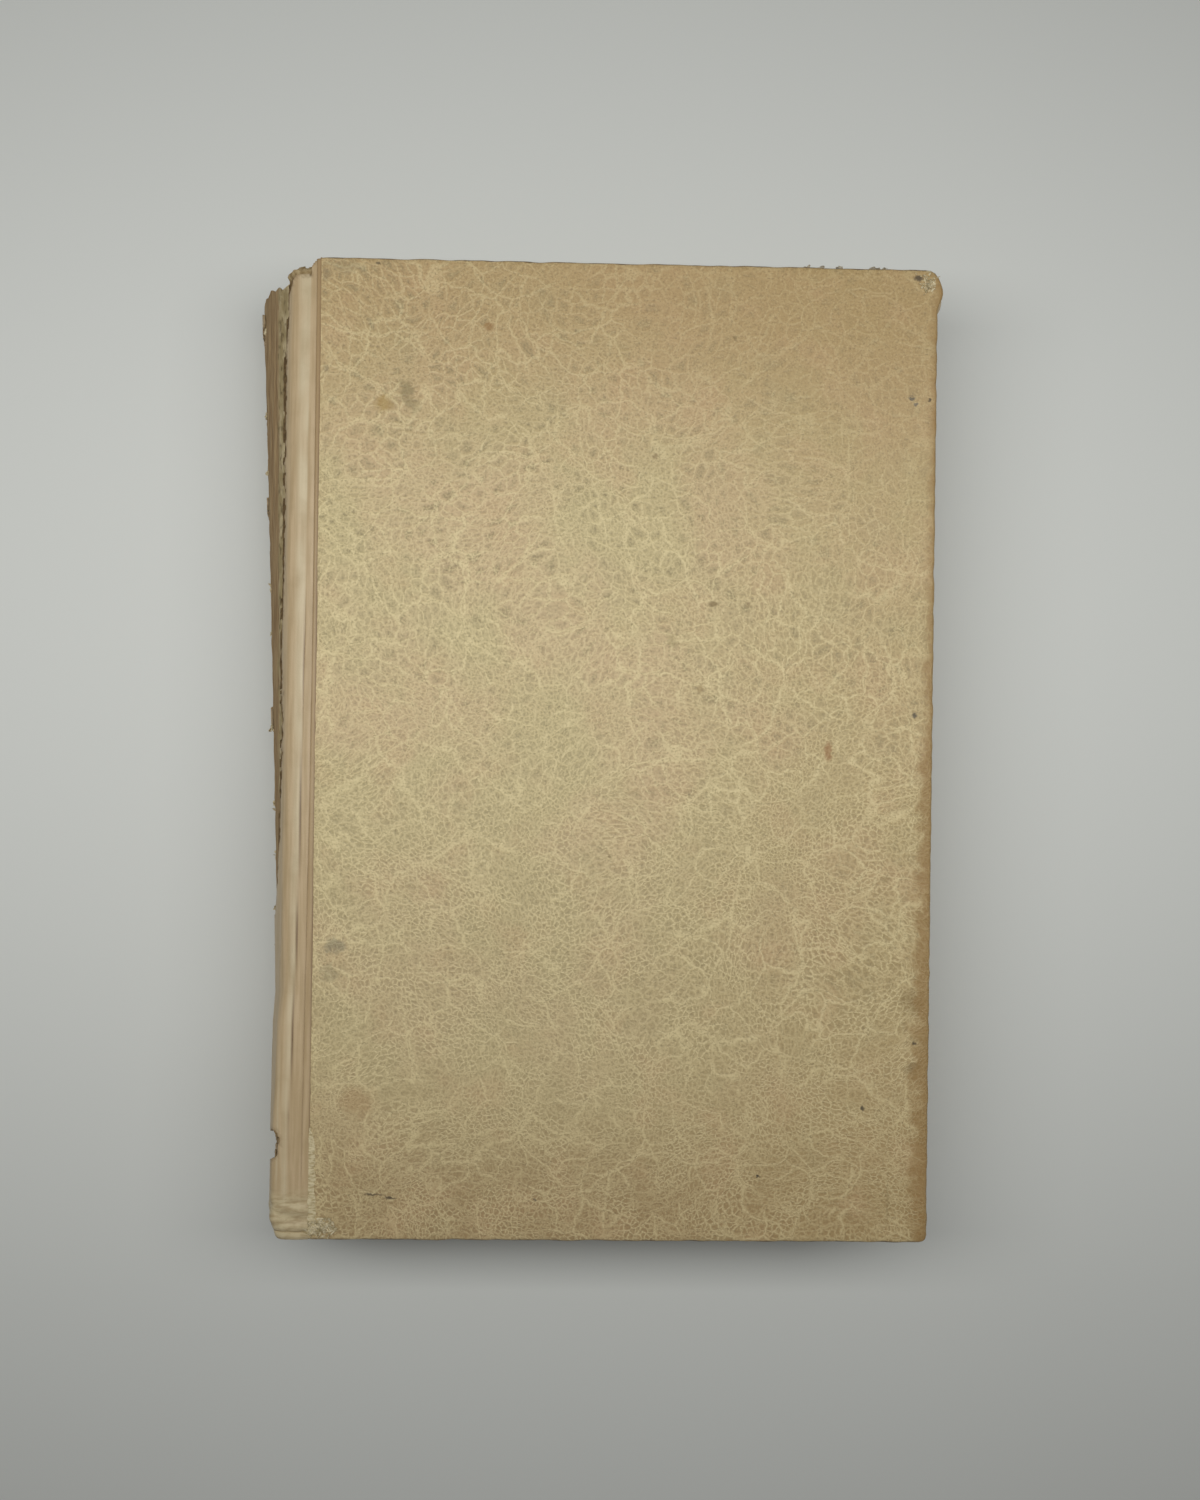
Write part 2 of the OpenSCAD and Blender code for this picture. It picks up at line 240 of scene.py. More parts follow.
# %% Long soft lamp
LAMP_AT, LAMP_SIZE, LAMP_WATTS = (-0.02, 0.047, 0.285), (0.58, 0.12), 0.97     # metres and watts
bpy.context.scene.view_settings.view_transform = "Standard"
bpy.ops.object.light_add(type="AREA", location=LAMP_AT)
lamp = bpy.context.object
lamp.name = "long_softbox"
lamp.data.shape = "RECTANGLE"
lamp.data.size, lamp.data.size_y = LAMP_SIZE
lamp.data.energy = LAMP_WATTS
print("lamp", lamp.data.energy, "W")

# %% [markdown]
# ## Materials
# One function turns the hex colours into the linear numbers that a shader wants, and one adds a
# node. Every pattern is measured in millimetres on the object.

# %% Colour and node helpers
def linear(hex_colour):
    """An sRGB hex colour as linear red, green, blue and alpha."""
    parts = [int(hex_colour[k:k + 2], 16) / 255 for k in (1, 3, 5)]
    return tuple(c / 12.92 if c <= 0.04045 else ((c + 0.055) / 1.055) ** 2.4 for c in parts) + (1,)


def add_node(tree, kind, inputs=None, out=0, **settings):
    """Adds a node and gives one of its outputs. An input is a number, a colour or another output."""
    node = tree.nodes.new("ShaderNode" + kind)
    for setting, value in settings.items():
        setattr(node, setting, value)
    for socket, value in (inputs or {}).items():
        if isinstance(value, bpy.types.NodeSocket):
            tree.links.new(value, node.inputs[socket])
        else:
            node.inputs[socket].default_value = value
    return node.outputs[out]


# Settings that come back often: eased ranges, products, sums, the higher of two, colour mixes and
# flat cellular nets.
SOFT = {"interpolation_type": "SMOOTHSTEP"}
TIMES, PLUS, HIGHER = ({"operation": word} for word in ("MULTIPLY", "MULTIPLY_ADD", "MAXIMUM"))
COLOURS = {"data_type": "RGBA", "out": 2}
NET = {"voronoi_dimensions": "2D", "feature": "DISTANCE_TO_EDGE"}


def new_finish(name, roughness, specular=0.3):
    """A new material, add_node for its tree, and its surface shader."""
    finish = bpy.data.materials.new(name)
    finish.use_nodes = True
    shader = finish.node_tree.nodes["Principled BSDF"]
    shader.inputs["Roughness"].default_value = roughness
    shader.inputs["Specular IOR Level"].default_value = specular
    return finish, partial(add_node, finish.node_tree), shader


def dress_surface(finish, shader, colour, height, strength, depth):
    """Gives a finish its colour, and its relief of a depth in millimetres."""
    relief = add_node(finish.node_tree, "Bump", {"Height": height, "Strength": strength,
                      "Distance": depth * MM})
    finish.node_tree.links.new(relief, shader.inputs["Normal"])
    finish.node_tree.links.new(colour, shader.inputs["Base Color"])
    return finish


print("cream is", [round(v, 3) for v in linear("#c8b78c")[:3]], "in linear light")

# %% [markdown]
# ### Room light
# The world gives a weak even light. The eye sees it brighter, and so do mirror images and views
# through glass, so that the backdrop is pale without more light on the book.

# %% Even room light
ROOM_LIGHT, BACKDROP = 0.12, 0.6


def seen_as_backdrop(node):
    """1 where the eye, a mirror image or a view through glass meets the backdrop, 0 for its light."""
    seen = node("LightPath", out="Is Camera Ray")
    for ray in ("Is Glossy Ray", "Is Transmission Ray"):
        seen = node("Math", {0: seen, 1: node("LightPath", out=ray)}, **HIGHER)
    return seen


room = bpy.data.worlds.new("room")
room.use_nodes = True
node = partial(add_node, room.node_tree)
seen = seen_as_backdrop(node)
strength = node("MapRange", {0: seen, 3: ROOM_LIGHT, 4: BACKDROP})
room.node_tree.nodes["Background"].inputs["Color"].default_value = (1, 1, 1, 1)
room.node_tree.links.new(strength, room.node_tree.nodes["Background"].inputs["Strength"])
bpy.context.scene.world = room
print("room light", ROOM_LIGHT, "backdrop", BACKDROP)

# %% [markdown]
# ### Embossed covering paper
# The covering is cream paper pressed with a leather grain and sealed with a thin size, so it has a
# faint sheen. Handling has worn the raised veins pale, and dirt stays in the hollow cells. A hide
# has nets of several sizes at once, so four cellular nets are laid over each other on crooked
# coordinates: cells of 1.1 mm and 2.7 mm, folds every 7.5 mm and long creases every 19 mm.

# %% Grain of the covering paper
SMALL_CELLS, CELLS, FOLDS, CREASES, PORES = 1.1, 2.7, 7.5, 19, 0.5     # mm from one to the next


def wandered(node, base, where, size, detail, reach):
    """The base coordinates, pushed about by soft noise of that size."""
    push = node("TexNoise", {"Vector": where, "Scale": 1 / size, "Detail": detail}, out=1)
    return node("VectorMath", {0: push, 1: (reach, reach, 0), 2: base}, **PLUS)


def grain(node, where):
    """Pale veins, dark hollows and the relief of pores, each from 0 to 1."""
    across, up = (node("SeparateXYZ", {0: where}, out=k) for k in (0, 1))
    drawn = wandered(node, where, where, 38, 1.0, 22)
    crooked = wandered(node, drawn, where, 1.5, 2.0, 1.2)
    folded = wandered(node, drawn, where, 7, 3.0, 8)
    arched = wandered(node, where, where, 19, 4.0, 27)
    nets = ((crooked, SMALL_CELLS), (crooked, CELLS), (folded, FOLDS), (arched, CREASES))
    fine, middle, fold, crease = (node("TexVoronoi", {"Vector": place, "Scale": 1 / size}, **NET)
                                  for place, size in nets)

    # Parts of the cover where the grain changes, with wandering borders.
    wander = node("TexNoise", {"Vector": where, "Scale": 1 / 24, "Detail": 1.0})
    climb = node("Math", {0: wander, 1: 60.0, 2: up}, **PLUS)
    at_head = node("MapRange", {0: climb, 1: 60, 2: 110}, **SOFT)
    upper = node("MapRange", {0: climb, 1: 5, 2: 50}, **SOFT)
    patch = node("TexNoise", {"Vector": where, "Scale": 1 / 9, "Detail": 2.0})
    patchy = node("MapRange", {0: patch, 1: 0.36, 2: 0.6, 3: 0.25, 4: 0.7}, **SOFT)
    corner = node("Math", {0: across, 1: 0.8, 2: up}, **PLUS)
    clear = node("MapRange", {0: corner, 1: 90, 2: 175, 3: 1, 4: 0.4}, **SOFT)

    # Fine veins, then those between the larger cells.
    vein = node("MapRange", {0: fine, 1: 0.0, 2: 0.24, 3: 1, 4: 0}, **SOFT)
    vein = node("Math", {0: vein, 1: patchy}, **TIMES)
    fading = node("MapRange", {0: at_head, 3: 1.0, 4: 0.4})
    fading = node("Math", {0: fading, 1: node("MapRange", {0: upper, 3: 1.3, 4: 1.0})}, **TIMES)
    vein = node("Math", {0: vein, 1: fading}, **TIMES)
    stronger = node("MapRange", {0: patch, 1: 0.6, 2: 0.4, 3: 0.4, 4: 0.85}, **SOFT)
    fainter = node("MapRange", {0: upper, 3: 0.6, 4: 1.0})
    softened = node("MapRange", {0: at_head, 3: 1.0, 4: 0.75})
    softened = node("Math", {0: fainter, 1: softened}, **TIMES)
    stronger = node("Math", {0: stronger, 1: softened}, **TIMES)
    middle_vein = node("MapRange", {0: middle, 1: 0.0, 2: 0.14, 3: 1, 4: 0}, **SOFT)
    middle_vein = node("Math", {0: middle_vein, 1: stronger}, **TIMES)
    vein = node("Math", {0: vein, 1: middle_vein}, **HIGHER)

    # Folds and long creases, broken here and there.
    fold_vein = node("MapRange", {0: fold, 1: 0.0, 2: 0.072, 3: 1, 4: 0}, **SOFT)
    crease_vein = node("MapRange", {0: crease, 1: 0.0, 2: 0.038, 3: 1, 4: 0}, **SOFT)
    lower_part = node("MapRange", {0: upper, 3: 0.9, 4: 1.0})
    fold_vein = node("Math", {0: fold_vein, 1: lower_part}, **TIMES)
    crease_vein = node("Math", {0: crease_vein, 1: lower_part}, **TIMES)
    long_vein = node("Math", {0: fold_vein, 1: crease_vein}, **HIGHER)
    come_and_go = node("TexNoise", {"Vector": folded, "Scale": 1 / 8, "Detail": 1.0})
    come_and_go = node("MapRange", {0: come_and_go, 1: 0.32, 2: 0.5, 3: 0.15, 4: 1}, **SOFT)
    long_vein = node("Math", {0: long_vein, 1: come_and_go}, **TIMES)
    rubbed_off = node("MapRange", {0: at_head, 3: 1.0, 4: 0.7})
    long_vein = node("Math", {0: long_vein, 1: rubbed_off}, **TIMES)
    vein = node("Math", {0: vein, 1: long_vein}, **HIGHER)

    # Level wrinkles near the tail, and the fine crinkle that breaks every vein up.
    flat_lines = node("VectorMath", {0: folded, 1: (0.16, 1, 0)}, **TIMES)
    wrinkle = node("TexVoronoi", {"Vector": flat_lines, "Scale": 1 / 2.4}, **NET)
    wrinkle = node("MapRange", {0: wrinkle, 1: 0.0, 2: 0.1, 3: 0.5, 4: 0}, **SOFT)
    at_tail = node("MapRange", {0: up, 1: -42, 2: -84}, **SOFT)
    vein = node("Math", {0: vein, 1: node("MapRange", {0: at_tail, 3: 1.0, 4: 0.85})}, **TIMES)
    vein = node("Math", {0: vein, 1: node("Math", {0: wrinkle, 1: at_tail}, **TIMES)}, **HIGHER)
    pores = node("TexNoise", {"Vector": where, "Scale": 1 / PORES, "Detail": 2.0, "Roughness": 0.7})
    crinkled = node("MapRange", {0: pores, 1: 0.3, 2: 0.55, 3: 0.45, 4: 1.0}, **SOFT)
    vein = node("Math", {0: vein, 1: node("Math", {0: clear, 1: crinkled}, **TIMES)}, **TIMES)

    # Dirt in some of the hollows between the veins.
    chosen = node("TexVoronoi", {"Vector": crooked, "Scale": 1 / CELLS}, out="Color",
                  voronoi_dimensions="2D", feature="F1")
    chosen = node("MapRange", {0: node("SeparateColor", {0: chosen}), 1: 0.2, 2: 0.8}, **SOFT)
    hollow = node("MapRange", {0: middle, 1: 0.1, 2: 0.42}, **SOFT)
    hollow = node("Math", {0: hollow, 1: chosen}, **TIMES)
    dirty = node("MapRange", {0: climb, 1: 10, 2: 60, 3: 0.5, 4: 1}, **SOFT)
    dirty = node("Math", {0: dirty, 1: at_head}, **HIGHER)
    cleaner = node("MapRange", {0: at_tail, 3: 1.0, 4: 0.2})
    hollow = node("Math", {0: hollow, 1: node("Math", {0: dirty, 1: cleaner}, **TIMES)}, **TIMES)
    small_hollow = node("MapRange", {0: fine, 1: 0.12, 2: 0.42, 3: 0, 4: cleaner}, **SOFT)
    small_hollow = node("Math", {0: small_hollow, 1: 0.5}, **TIMES)
    hollow = node("Math", {0: hollow, 1: small_hollow}, **HIGHER)
    mottled = node("MapRange", {0: pores, 1: 0.62, 2: 0.38, 3: 0.45, 4: 1.0}, **SOFT)
    hollow = node("Math", {0: hollow, 1: node("Math", {0: clear, 1: mottled}, **TIMES)}, **TIMES)
    return vein, hollow, pores


print("the grain has cells of", SMALL_CELLS, "and", CELLS, "mm")

# %% [markdown]
# ### Stains and marks
# The front cover has its own stains: brown drops, grey rub marks and dark nicks at the edges, and one
# thin line of painted shade along a crease near the tail. Each is an oval on wobbly coordinates, so
# that its outline is never round.

# %% Stains and marks on the covering
def stain(node, colour, wobbly, centre, size, tint, strength):
    """Lays one stain of a given width and height, in millimetres, over a colour."""
    local = node("VectorMath", {0: wobbly, 1: (*centre, 0)}, operation="SUBTRACT")
    local = node("VectorMath", {0: local, 1: (2 / size[0], 2 / size[1], 0)}, **TIMES)
    reach = node("VectorMath", {0: local}, out=1, operation="LENGTH")
    mask = node("MapRange", {0: reach, 1: 0.45, 2: 1.25, 3: strength, 4: 0}, **SOFT)
    return node("Mix", {0: mask, 6: colour, 7: linear(tint)}, **COLOURS)


FRONT_MARKS = [  # centre from the spine edge and the middle, width and height, tint, strength
    ((34.4, 86.9), (2.2, 1.8), "#85602f", 0.6), ((13.2, 70.4), (4.0, 3.6), "#977a3c", 0.65),
    ((17.6, 73.4), (3.0, 5.0), "#7b6e4a", 0.65), ((19.0, 70.4), (3.0, 3.4), "#7b6e4a", 0.55),
    ((68.8, 60.7), (1.2, 1.4), "#7a6642", 0.6), ((81.2, 30.6), (2.2, 1.6), "#74603a", 0.75),
    ((88.4, 30.5), (1.2, 1.2), "#7c6844", 0.6), ((72.8, 23.1), (2.8, 2.6), "#8b7a52", 0.5),
    ((78.7, 12.9), (1.4, 2.0), "#846b40", 0.5), ((105.3, 0.6), (1.8, 4.2), "#8a5d32", 0.65),
    ((123.2, 8.2), (1.4, 1.0), "#454034", 0.85), ((121.7, 73.7), (1.5, 1.0), "#4c4942", 0.8),
    ((122.6, 72.5), (0.9, 0.9), "#5b5850", 0.7), ((125.5, 73.5), (0.8, 0.8), "#3d3324", 0.9),
    ((4.7, -40.5), (4.8, 3.2), "#74705a", 0.55), ((3.6, -45.6), (3.4, 5.0), "#847b5c", 0.4),
    ((123.3, -50.8), (5.0, 6.2), "#836d44", 0.5), ((123.9, -59.3), (0.8, 0.8), "#3d3527", 0.9),
    ((123.5, -64.2), (3.4, 2.8), "#7a6540", 0.65), ((113.3, -72.9), (0.9, 0.8), "#423a2c", 0.85),
    ((91.9, -86.9), (1.0, 0.9), "#332d22", 0.9), ((46.2, -92.0), (0.7, 0.7), "#4f4838", 0.75),
    ((60.6, -21.6), (0.9, 0.9), "#74633f", 0.6), ((117.4, -25.7), (2.4, 1.4), "#86724a", 0.5),
    ((11.6, 99.3), (1.2, 0.8), "#4f4636", 0.7), ((5.0, 98.6), (9.0, 3.0), "#8b7d5c", 0.4),
    ((13.2, -91.0), (4.4, 0.45), "#4d4130", 0.8), ((16.6, -91.9), (2.6, 0.5), "#3c3224", 0.85),
    # The tall thin mark at (118.7, -92.4) is painted shade along a crease near the tail.
    ((118.7, -92.4), (0.6, 10.0), "#7e6c48", 0.35), ((122.6, 98.6), (2.0, 1.4), "#41372a", 0.85),
    ((1.4, 77.5), (1.3, 1.6), "#6f6046", 0.6), ((1.0, 96.8), (1.6, 3.0), "#7c6c50", 0.5),
    ((84.9, 85.3), (0.8, 0.8), "#74633f", 0.6), ((9.5, -72.0), (8.0, 7.0), "#a2835b", 0.45),
]
print(len(FRONT_MARKS), "marks lie on the front cover")

# %% [markdown]
# ### Colour of the covering
# The cover is painted darker towards the head and more so towards the tail: this is painted shade,
# where the lamp's light falls off. It is also darker towards the fore edge. So the colour starts
# even, and each tone is laid over it: by height, by distance from the spine, or in soft clouds.
# Grain, marks, the handled fore edge and a dark band along the ends come last.

# %% Covering paper finish
def lay_tones(node, base, tones):
    """Lays tints over a colour. A reach is a value, its start and end, and the strength at each."""
    for reach, tint in tones:
        mask = node("MapRange", dict(enumerate(reach)), **SOFT)
        base = node("Mix", {0: mask, 6: base, 7: linear(tint)}, **COLOURS)
    return base


def covering_finish(name, marks):
    """Cream paper with a faint sheen: pale worn veins, dirt in the hollows, brown handled edges."""
    finish, node, shader = new_finish(name, 0.5, 0.35)
    where = node("Attribute", out=1, attribute_name="flat")
    vein, hollow, pores = grain(node, where)
    across, up = (node("SeparateXYZ", {0: where}, out=k) for k in (0, 1))
    drift = node("TexNoise", {"Vector": where, "Scale": 1 / 30, "Detail": 3.0})
    flush = node("TexNoise", {"Vector": where, "Scale": 1 / 11, "Detail": 3.0})
    toned = node("MapRange", {0: drift, 1: 0.38, 2: 0.6}, **SOFT)
    base = node("Mix", {0: toned, 6: linear("#baa37c"), 7: linear("#b5a67a")}, **COLOURS)
    # Painted shade: darker towards the head and more towards the tail, where the lamp's light falls off.
    # Then darker towards the fore edge, and soft clouds of tone.
    base = lay_tones(node, base, [
        ((up, 45, 98, 0, 0.85), "#a68b60"), ((up, 10, -62, 0, 0.6), "#aa9972"),
        ((up, -60, -98, 0, 0.9), "#967e58"), ((across, 50, 122, 0, 0.55), "#a2895b"),
        ((flush, 0.5, 0.72, 0, 0.3), "#b5946e"), ((flush, 0.45, 0.3, 0, 0.22), "#9e9069")])
    for lines, tint in ((hollow, "#857957"), (vein, "#dccc9c")):
        lines = node("Math", {0: lines, 1: 0.7}, **TIMES)
        base = node("Mix", {0: lines, 6: base, 7: linear(tint)}, **COLOURS)
    base = lay_tones(node, base, [((pores, 0.48, 0.28, 0, 0.42), "#6f6145"),
                                  ((pores, 0.54, 0.74, 0, 0.3), "#d8c89b")])
    if marks:
        fine_wobble = wandered(node, where, where, 0.8, 3.0, 1.3)
        wide_wobble = wandered(node, where, where, 2.4, 4.0, 4.5)
    for (x, y), size, tint, strength in marks:
        wide = min(size) > 2
        wobbly, moved = (wide_wobble, 2.25) if wide else (fine_wobble, 0.65)
        base = stain(node, base, wobbly, (x + moved, y + moved), size, tint, strength)
    ragged = node("TexNoise", {"Vector": where, "Scale": 1 / 4, "Detail": 4.0})
    reach = node("MapRange", {0: up, 1: 60, 2: -50, 3: -4.2, 4: -8.5}, **SOFT)
    inward = node("Math", {0: BOARD_W + PAPER_T, 1: across}, operation="SUBTRACT")
    handled = node("Math", {0: ragged, 1: reach, 2: inward}, **PLUS)
    # A thin dark band is laid along the head and tail edges.
    from_end = node("Math", {0: up}, operation="ABSOLUTE")
    from_end = node("Math", {0: HEAD, 1: from_end}, operation="SUBTRACT")
    dark_end_band = node("Math", {0: ragged, 1: -1.4, 2: from_end}, **PLUS)
    base = lay_tones(node, base, [((handled, -2.6, 0.4, 0.7, 0), "#8a6b3c"),
                                  ((dark_end_band, -0.8, -0.25, 0.9, 0), "#544330")])
    height = node("Math", {0: vein, 1: 0.8, 2: node("Math", {0: pores, 1: 0.5}, **TIMES)}, **PLUS)
    height = node("Math", {0: hollow, 1: -0.5, 2: height}, **PLUS)
    return dress_surface(finish, shader, base, height, 0.7, 0.14)


front_paper = covering_finish("embossed_covering_paper_front", FRONT_MARKS)
rear_paper = covering_finish("embossed_covering_paper_rear", [])
print("covering finish has", len(front_paper.node_tree.nodes), "nodes")

# %% [markdown]
# ## Covers
# A cover is a board wrapped in one sheet: the sheet lies on the outer face, goes round the edges
# and is turned in 14 mm over the inner face, with mitred corners. It could be a bevelled box, but
# then the turned-in paper and its mitres would be missing. So the flat sheet is laid first, and
# each point is carried round the edge by the length of paper that it is away from it.

# %% Fold a sheet round a board
EDGE_R = 0.7                                   # roundness of the covered board's edge
ARC = EDGE_R * math.pi / 2
WRAP = 2 * ARC + COVER_T - 2 * EDGE_R          # length of paper from the outer to the inner face
SWELL_AT, SWELL_REACH = 96.0, 2.6              # height of the bumped corner, and its half height


def fold_lines(flat_length, step, turn):
    """Grid lines from the flat face out over the edge to the end of the turned-in paper."""
    flat = np.linspace(0, flat_length, int(flat_length / step) + 1)
    over = flat_length + np.linspace(0, WRAP, 13)[1:]
    inner = flat_length + WRAP + np.linspace(0, turn, 9)[1:]
    return np.concatenate([flat, over, inner])


def wrap_cover(name, head_r, swell, step=0.84):
    """The covering of one board in the board's own frame: spine edge on x = 0, outer face on z = 0."""
    inset_w, inset_h = BOARD_W + PAPER_T - EDGE_R, CASE_H / 2 - EDGE_R
    turn = TURN_IN - EDGE_R
    xs = fold_lines(inset_w, step, turn)
    half = fold_lines(inset_h, step, turn)
    ys = np.concatenate([-half[:0:-1], half])
    kept = {}

    def place(i, j):
        x, y = xs[i], ys[j]
        side = np.sign(y) + (y == 0)
        round_r = np.where(y > 0, head_r, 1.5) - EDGE_R
        cx, cy = inset_w - round_r, inset_h - round_r
        vx, vy = np.maximum(x - cx, 0), np.maximum(np.abs(y) - cy, 0)
        corner = (vx > 0) & (vy > 0)
        away = np.where(corner, np.hypot(vx, vy), 1)
        # Which way the nearest edge faces, how far past it a point is, and where it folds.
        nx = np.where(corner, vx / away, (x > inset_w) * 1.0)
        ny = np.where(corner, vy / away, (np.abs(y) > inset_h) * 1.0)
        past = np.where(corner, away - round_r, np.maximum(x - inset_w, np.abs(y) - inset_h))
        fold_x = np.where(corner & (past > 0), cx + nx * round_r, np.minimum(x, inset_w))
        fold_y = np.where(corner & (past > 0), cy + ny * round_r, np.minimum(np.abs(y), inset_h))
        # Where two turned-in edges would cross, each is cut back to the mitre.
        inner = np.maximum(past - WRAP, 0)
        run = np.where(corner, 0, np.where(nx > 0, cy - np.abs(y), cx - x))
        mitred = (inner - round_r > run) & ~corner & (past > WRAP)
        over = np.where(mitred, (inner - round_r - run) / 2 + 0.1, 0)
        inner = inner - over
        fold_y = np.where(mitred & (nx > 0), fold_y - over, fold_y)
        fold_x = np.where(mitred & (ny > 0), fold_x - over, fold_x)
        kept["gone"] = (over > 1.6) | (corner & (past > WRAP + round_r))
        # Round the outer edge, down the side, round the inner edge, then back over the inner face.
        past = np.maximum(past, 0)
        out = np.where(past < ARC, EDGE_R * np.sin(np.minimum(past, ARC) / EDGE_R), EDGE_R)
        down = np.where(past < ARC, EDGE_R * (1 - np.cos(np.minimum(past, ARC) / EDGE_R)), EDGE_R)
        down = np.where(past > ARC, np.minimum(EDGE_R + past - ARC, COVER_T - EDGE_R), down)
        lower = np.clip(past - (WRAP - ARC), 0, ARC)
        out = np.where(past > WRAP - ARC, EDGE_R * np.cos(lower / EDGE_R), out)
        down = np.where(past > WRAP - ARC, COVER_T - EDGE_R + EDGE_R * np.sin(lower / EDGE_R), down)
        out = np.where(past > WRAP, -np.minimum(inner, turn), out)
        bumped = hump(y, SWELL_AT, SWELL_REACH)
        px = fold_x + nx * out + swell * bumped * smooth_step(fold_x, inset_w - 7, inset_w)
        py = side * (fold_y + ny * out)
        kept["flat"] = np.stack([x, y, 0 * x], axis=1)
        # Unevenness: soft waves in the paper, a ragged rim and a crumbling edge along the joint.
        rim = np.minimum(BOARD_W + PAPER_T - x, CASE_H / 2 - np.abs(y))
        uneven = 0.05 * waves(x, y, 30, 3) + 0.03 * waves(x, y, 9, 4)
        ragged = np.exp(-np.maximum(rim, 0) / 1.2) * 0.07 * waves(x, y, 5, 5)
        top = smooth_step(COVER_T - down, 0, 1.5)
        joint_edge = hump(x, 0, 0.3) * (down < COVER_T / 2)
        px = px + joint_edge * (0.06 * waves(y, x, 4, 6) + 0.04 * waves(y, x, 1.3, 7))
        lift = -0.06 * top + uneven * top * 0.6 + 0.2 * joint_edge
        return np.stack([px + nx * ragged, py + side * ny * ragged, down + lift], axis=1)

    sheet, i, j = lay_sheet(name, len(xs) - 1, len(ys) - 1, place)
    keep_value(sheet, "flat", kept["flat"])
    cut_away(sheet, kept["gone"])
    bpy.ops.object.mode_set(mode="EDIT")
    bpy.ops.mesh.select_all(action="SELECT")
    bpy.ops.mesh.remove_doubles(threshold=0.02 * MM)
    bpy.ops.object.mode_set(mode="OBJECT")
    return sheet


print("the paper goes", round(WRAP, 2), "mm round the edge, then", TURN_IN, "mm in")

# %% [markdown]
# The front board's corner at the head has been bumped, so it is rounder than the others and swells
# out a little. The wrapped sheet is turned face up, and its thickness grows inwards, so that its
# outer face keeps its size.

# %% Front cover
CORNER_ROUND, CORNER_SWELL = 2.4, 1.1
front = wrap_cover("front_covering", CORNER_ROUND, CORNER_SWELL)
points = points_of(front)
points[:, 2] = BOOK_T * MM - points[:, 2]
move_points(front, points)
give_thickness(front, PAPER_T, MIDDLE_X)
finish_piece(front, "front_cover", front_paper, ["front_cover_paper"])

# %% [markdown]
# The rear board was pushed towards the spine and turned when the block slid over. It is wrapped in
# the same way, turned about its middle, and its faces are flipped, because it looks down.

# %% Rear cover
rear = wrap_cover("rear_covering", head_r=1.5, swell=0.0, step=1.2)
points = points_of(rear) / MM
points[:, 0] -= BOARD_W / 2
points[:, 0], points[:, 1] = turned(points[:, 0], points[:, 1], TWIST)
points[:, 0] = points[:, 0] - LEAN_MID + BOARD_W / 2 + MIDDLE_X
move_points(rear, points * MM)
bpy.ops.object.mode_set(mode="EDIT")
bpy.ops.mesh.select_all(action="SELECT")
bpy.ops.mesh.flip_normals()
bpy.ops.object.mode_set(mode="OBJECT")
give_thickness(rear, PAPER_T)
finish_piece(rear, "rear_cover", rear_paper, ["rear_cover_paper"])

# %% [markdown]
# ## The rounded, leaning back
# Each leaf of the block lies a little further towards the spine than the leaf above it, and the
# back is rounded between them. Every layer of the spine is a sheet over that same back, so one
# function gives the place on it: s runs from 0 at the rear flyleaf to 1 at the front flyleaf, and
# u is the distance along the book from its middle, positive towards the head.

# %% Points on the back
def lean_at(v):
    """How far the rear board lies towards the spine, with v from -1 at the tail to 1 at the head."""
    return LEAN_TAIL + (LEAN_HEAD - LEAN_TAIL) * (v + 1) / 2


def back_x(s, v):
    """The back's place across the book, from the front board's spine edge."""
    roundness = ROUND_TAIL + (ROUND_HEAD - ROUND_TAIL) * (v + 1) / 2
    return -JOINT_W - lean_at(v) * (1 - s) - roundness * (1 - (2 * s - 1) ** 2)


def leaf_lie(s):
    """The turn of the leaf at height s, and the place of its middle."""
    return np.arctan((back_x(s, -1) - back_x(s, 1)) / BOARD_H), back_x(s, 0) + PAGE_W / 2


def leaf_point(s, side, u):
    """Spine edge (side -1) or fore edge (side 1) of the leaf at height s, in millimetres."""
    x, y = turned(side * PAGE_W / 2, u, *leaf_lie(s))
    return np.stack([x, y, REAR_LEAF_Z + (BACK_TOP_Z - REAR_LEAF_Z) * s + 0 * x], axis=-1)


def over_back(s, u, rise):
    """The point at that height above the back, measured square to it."""
    here = leaf_point(s, -1, u)
    along = leaf_point(s + 0.005, -1, u) - leaf_point(s - 0.005, -1, u)
    long = np.hypot(along[..., 0], along[..., 2])
    out = np.stack([-along[..., 2] / long, 0 * long, along[..., 0] / long], axis=-1)
    return here + out * np.asarray(rise)[..., None]


print("head of the back, rear leaf:", leaf_point(np.float64(0), -1, np.float64(97.2)).round(1))

# %% [markdown]
# Stiff paper doesn't follow the back into its corners: it goes over the two shoulders in soft
# bends. Each section is therefore drawn as a sharp line first and then eased by a moving average.

# %% Section of the covering over the back
BULGE = 1.6                  # the covering stands off the back over the card inlay at the tail
RISE = [(TAIL, BULGE), (TAIL + 11, BULGE), (TAIL + 26.4, 0.8 * BULGE), (TAIL + 44, 0.7),
        (TAIL + 50, 0.1), (HEAD, 0.1)]
FRONT_SHOULDER, REAR_SHOULDER = np.array([0.12, 0, 0.9]), np.array([0.3, 0, -0.9])
DENSE, EASING = 0.25, 1.3    # spacing of the points that are eased, and how far the easing reaches


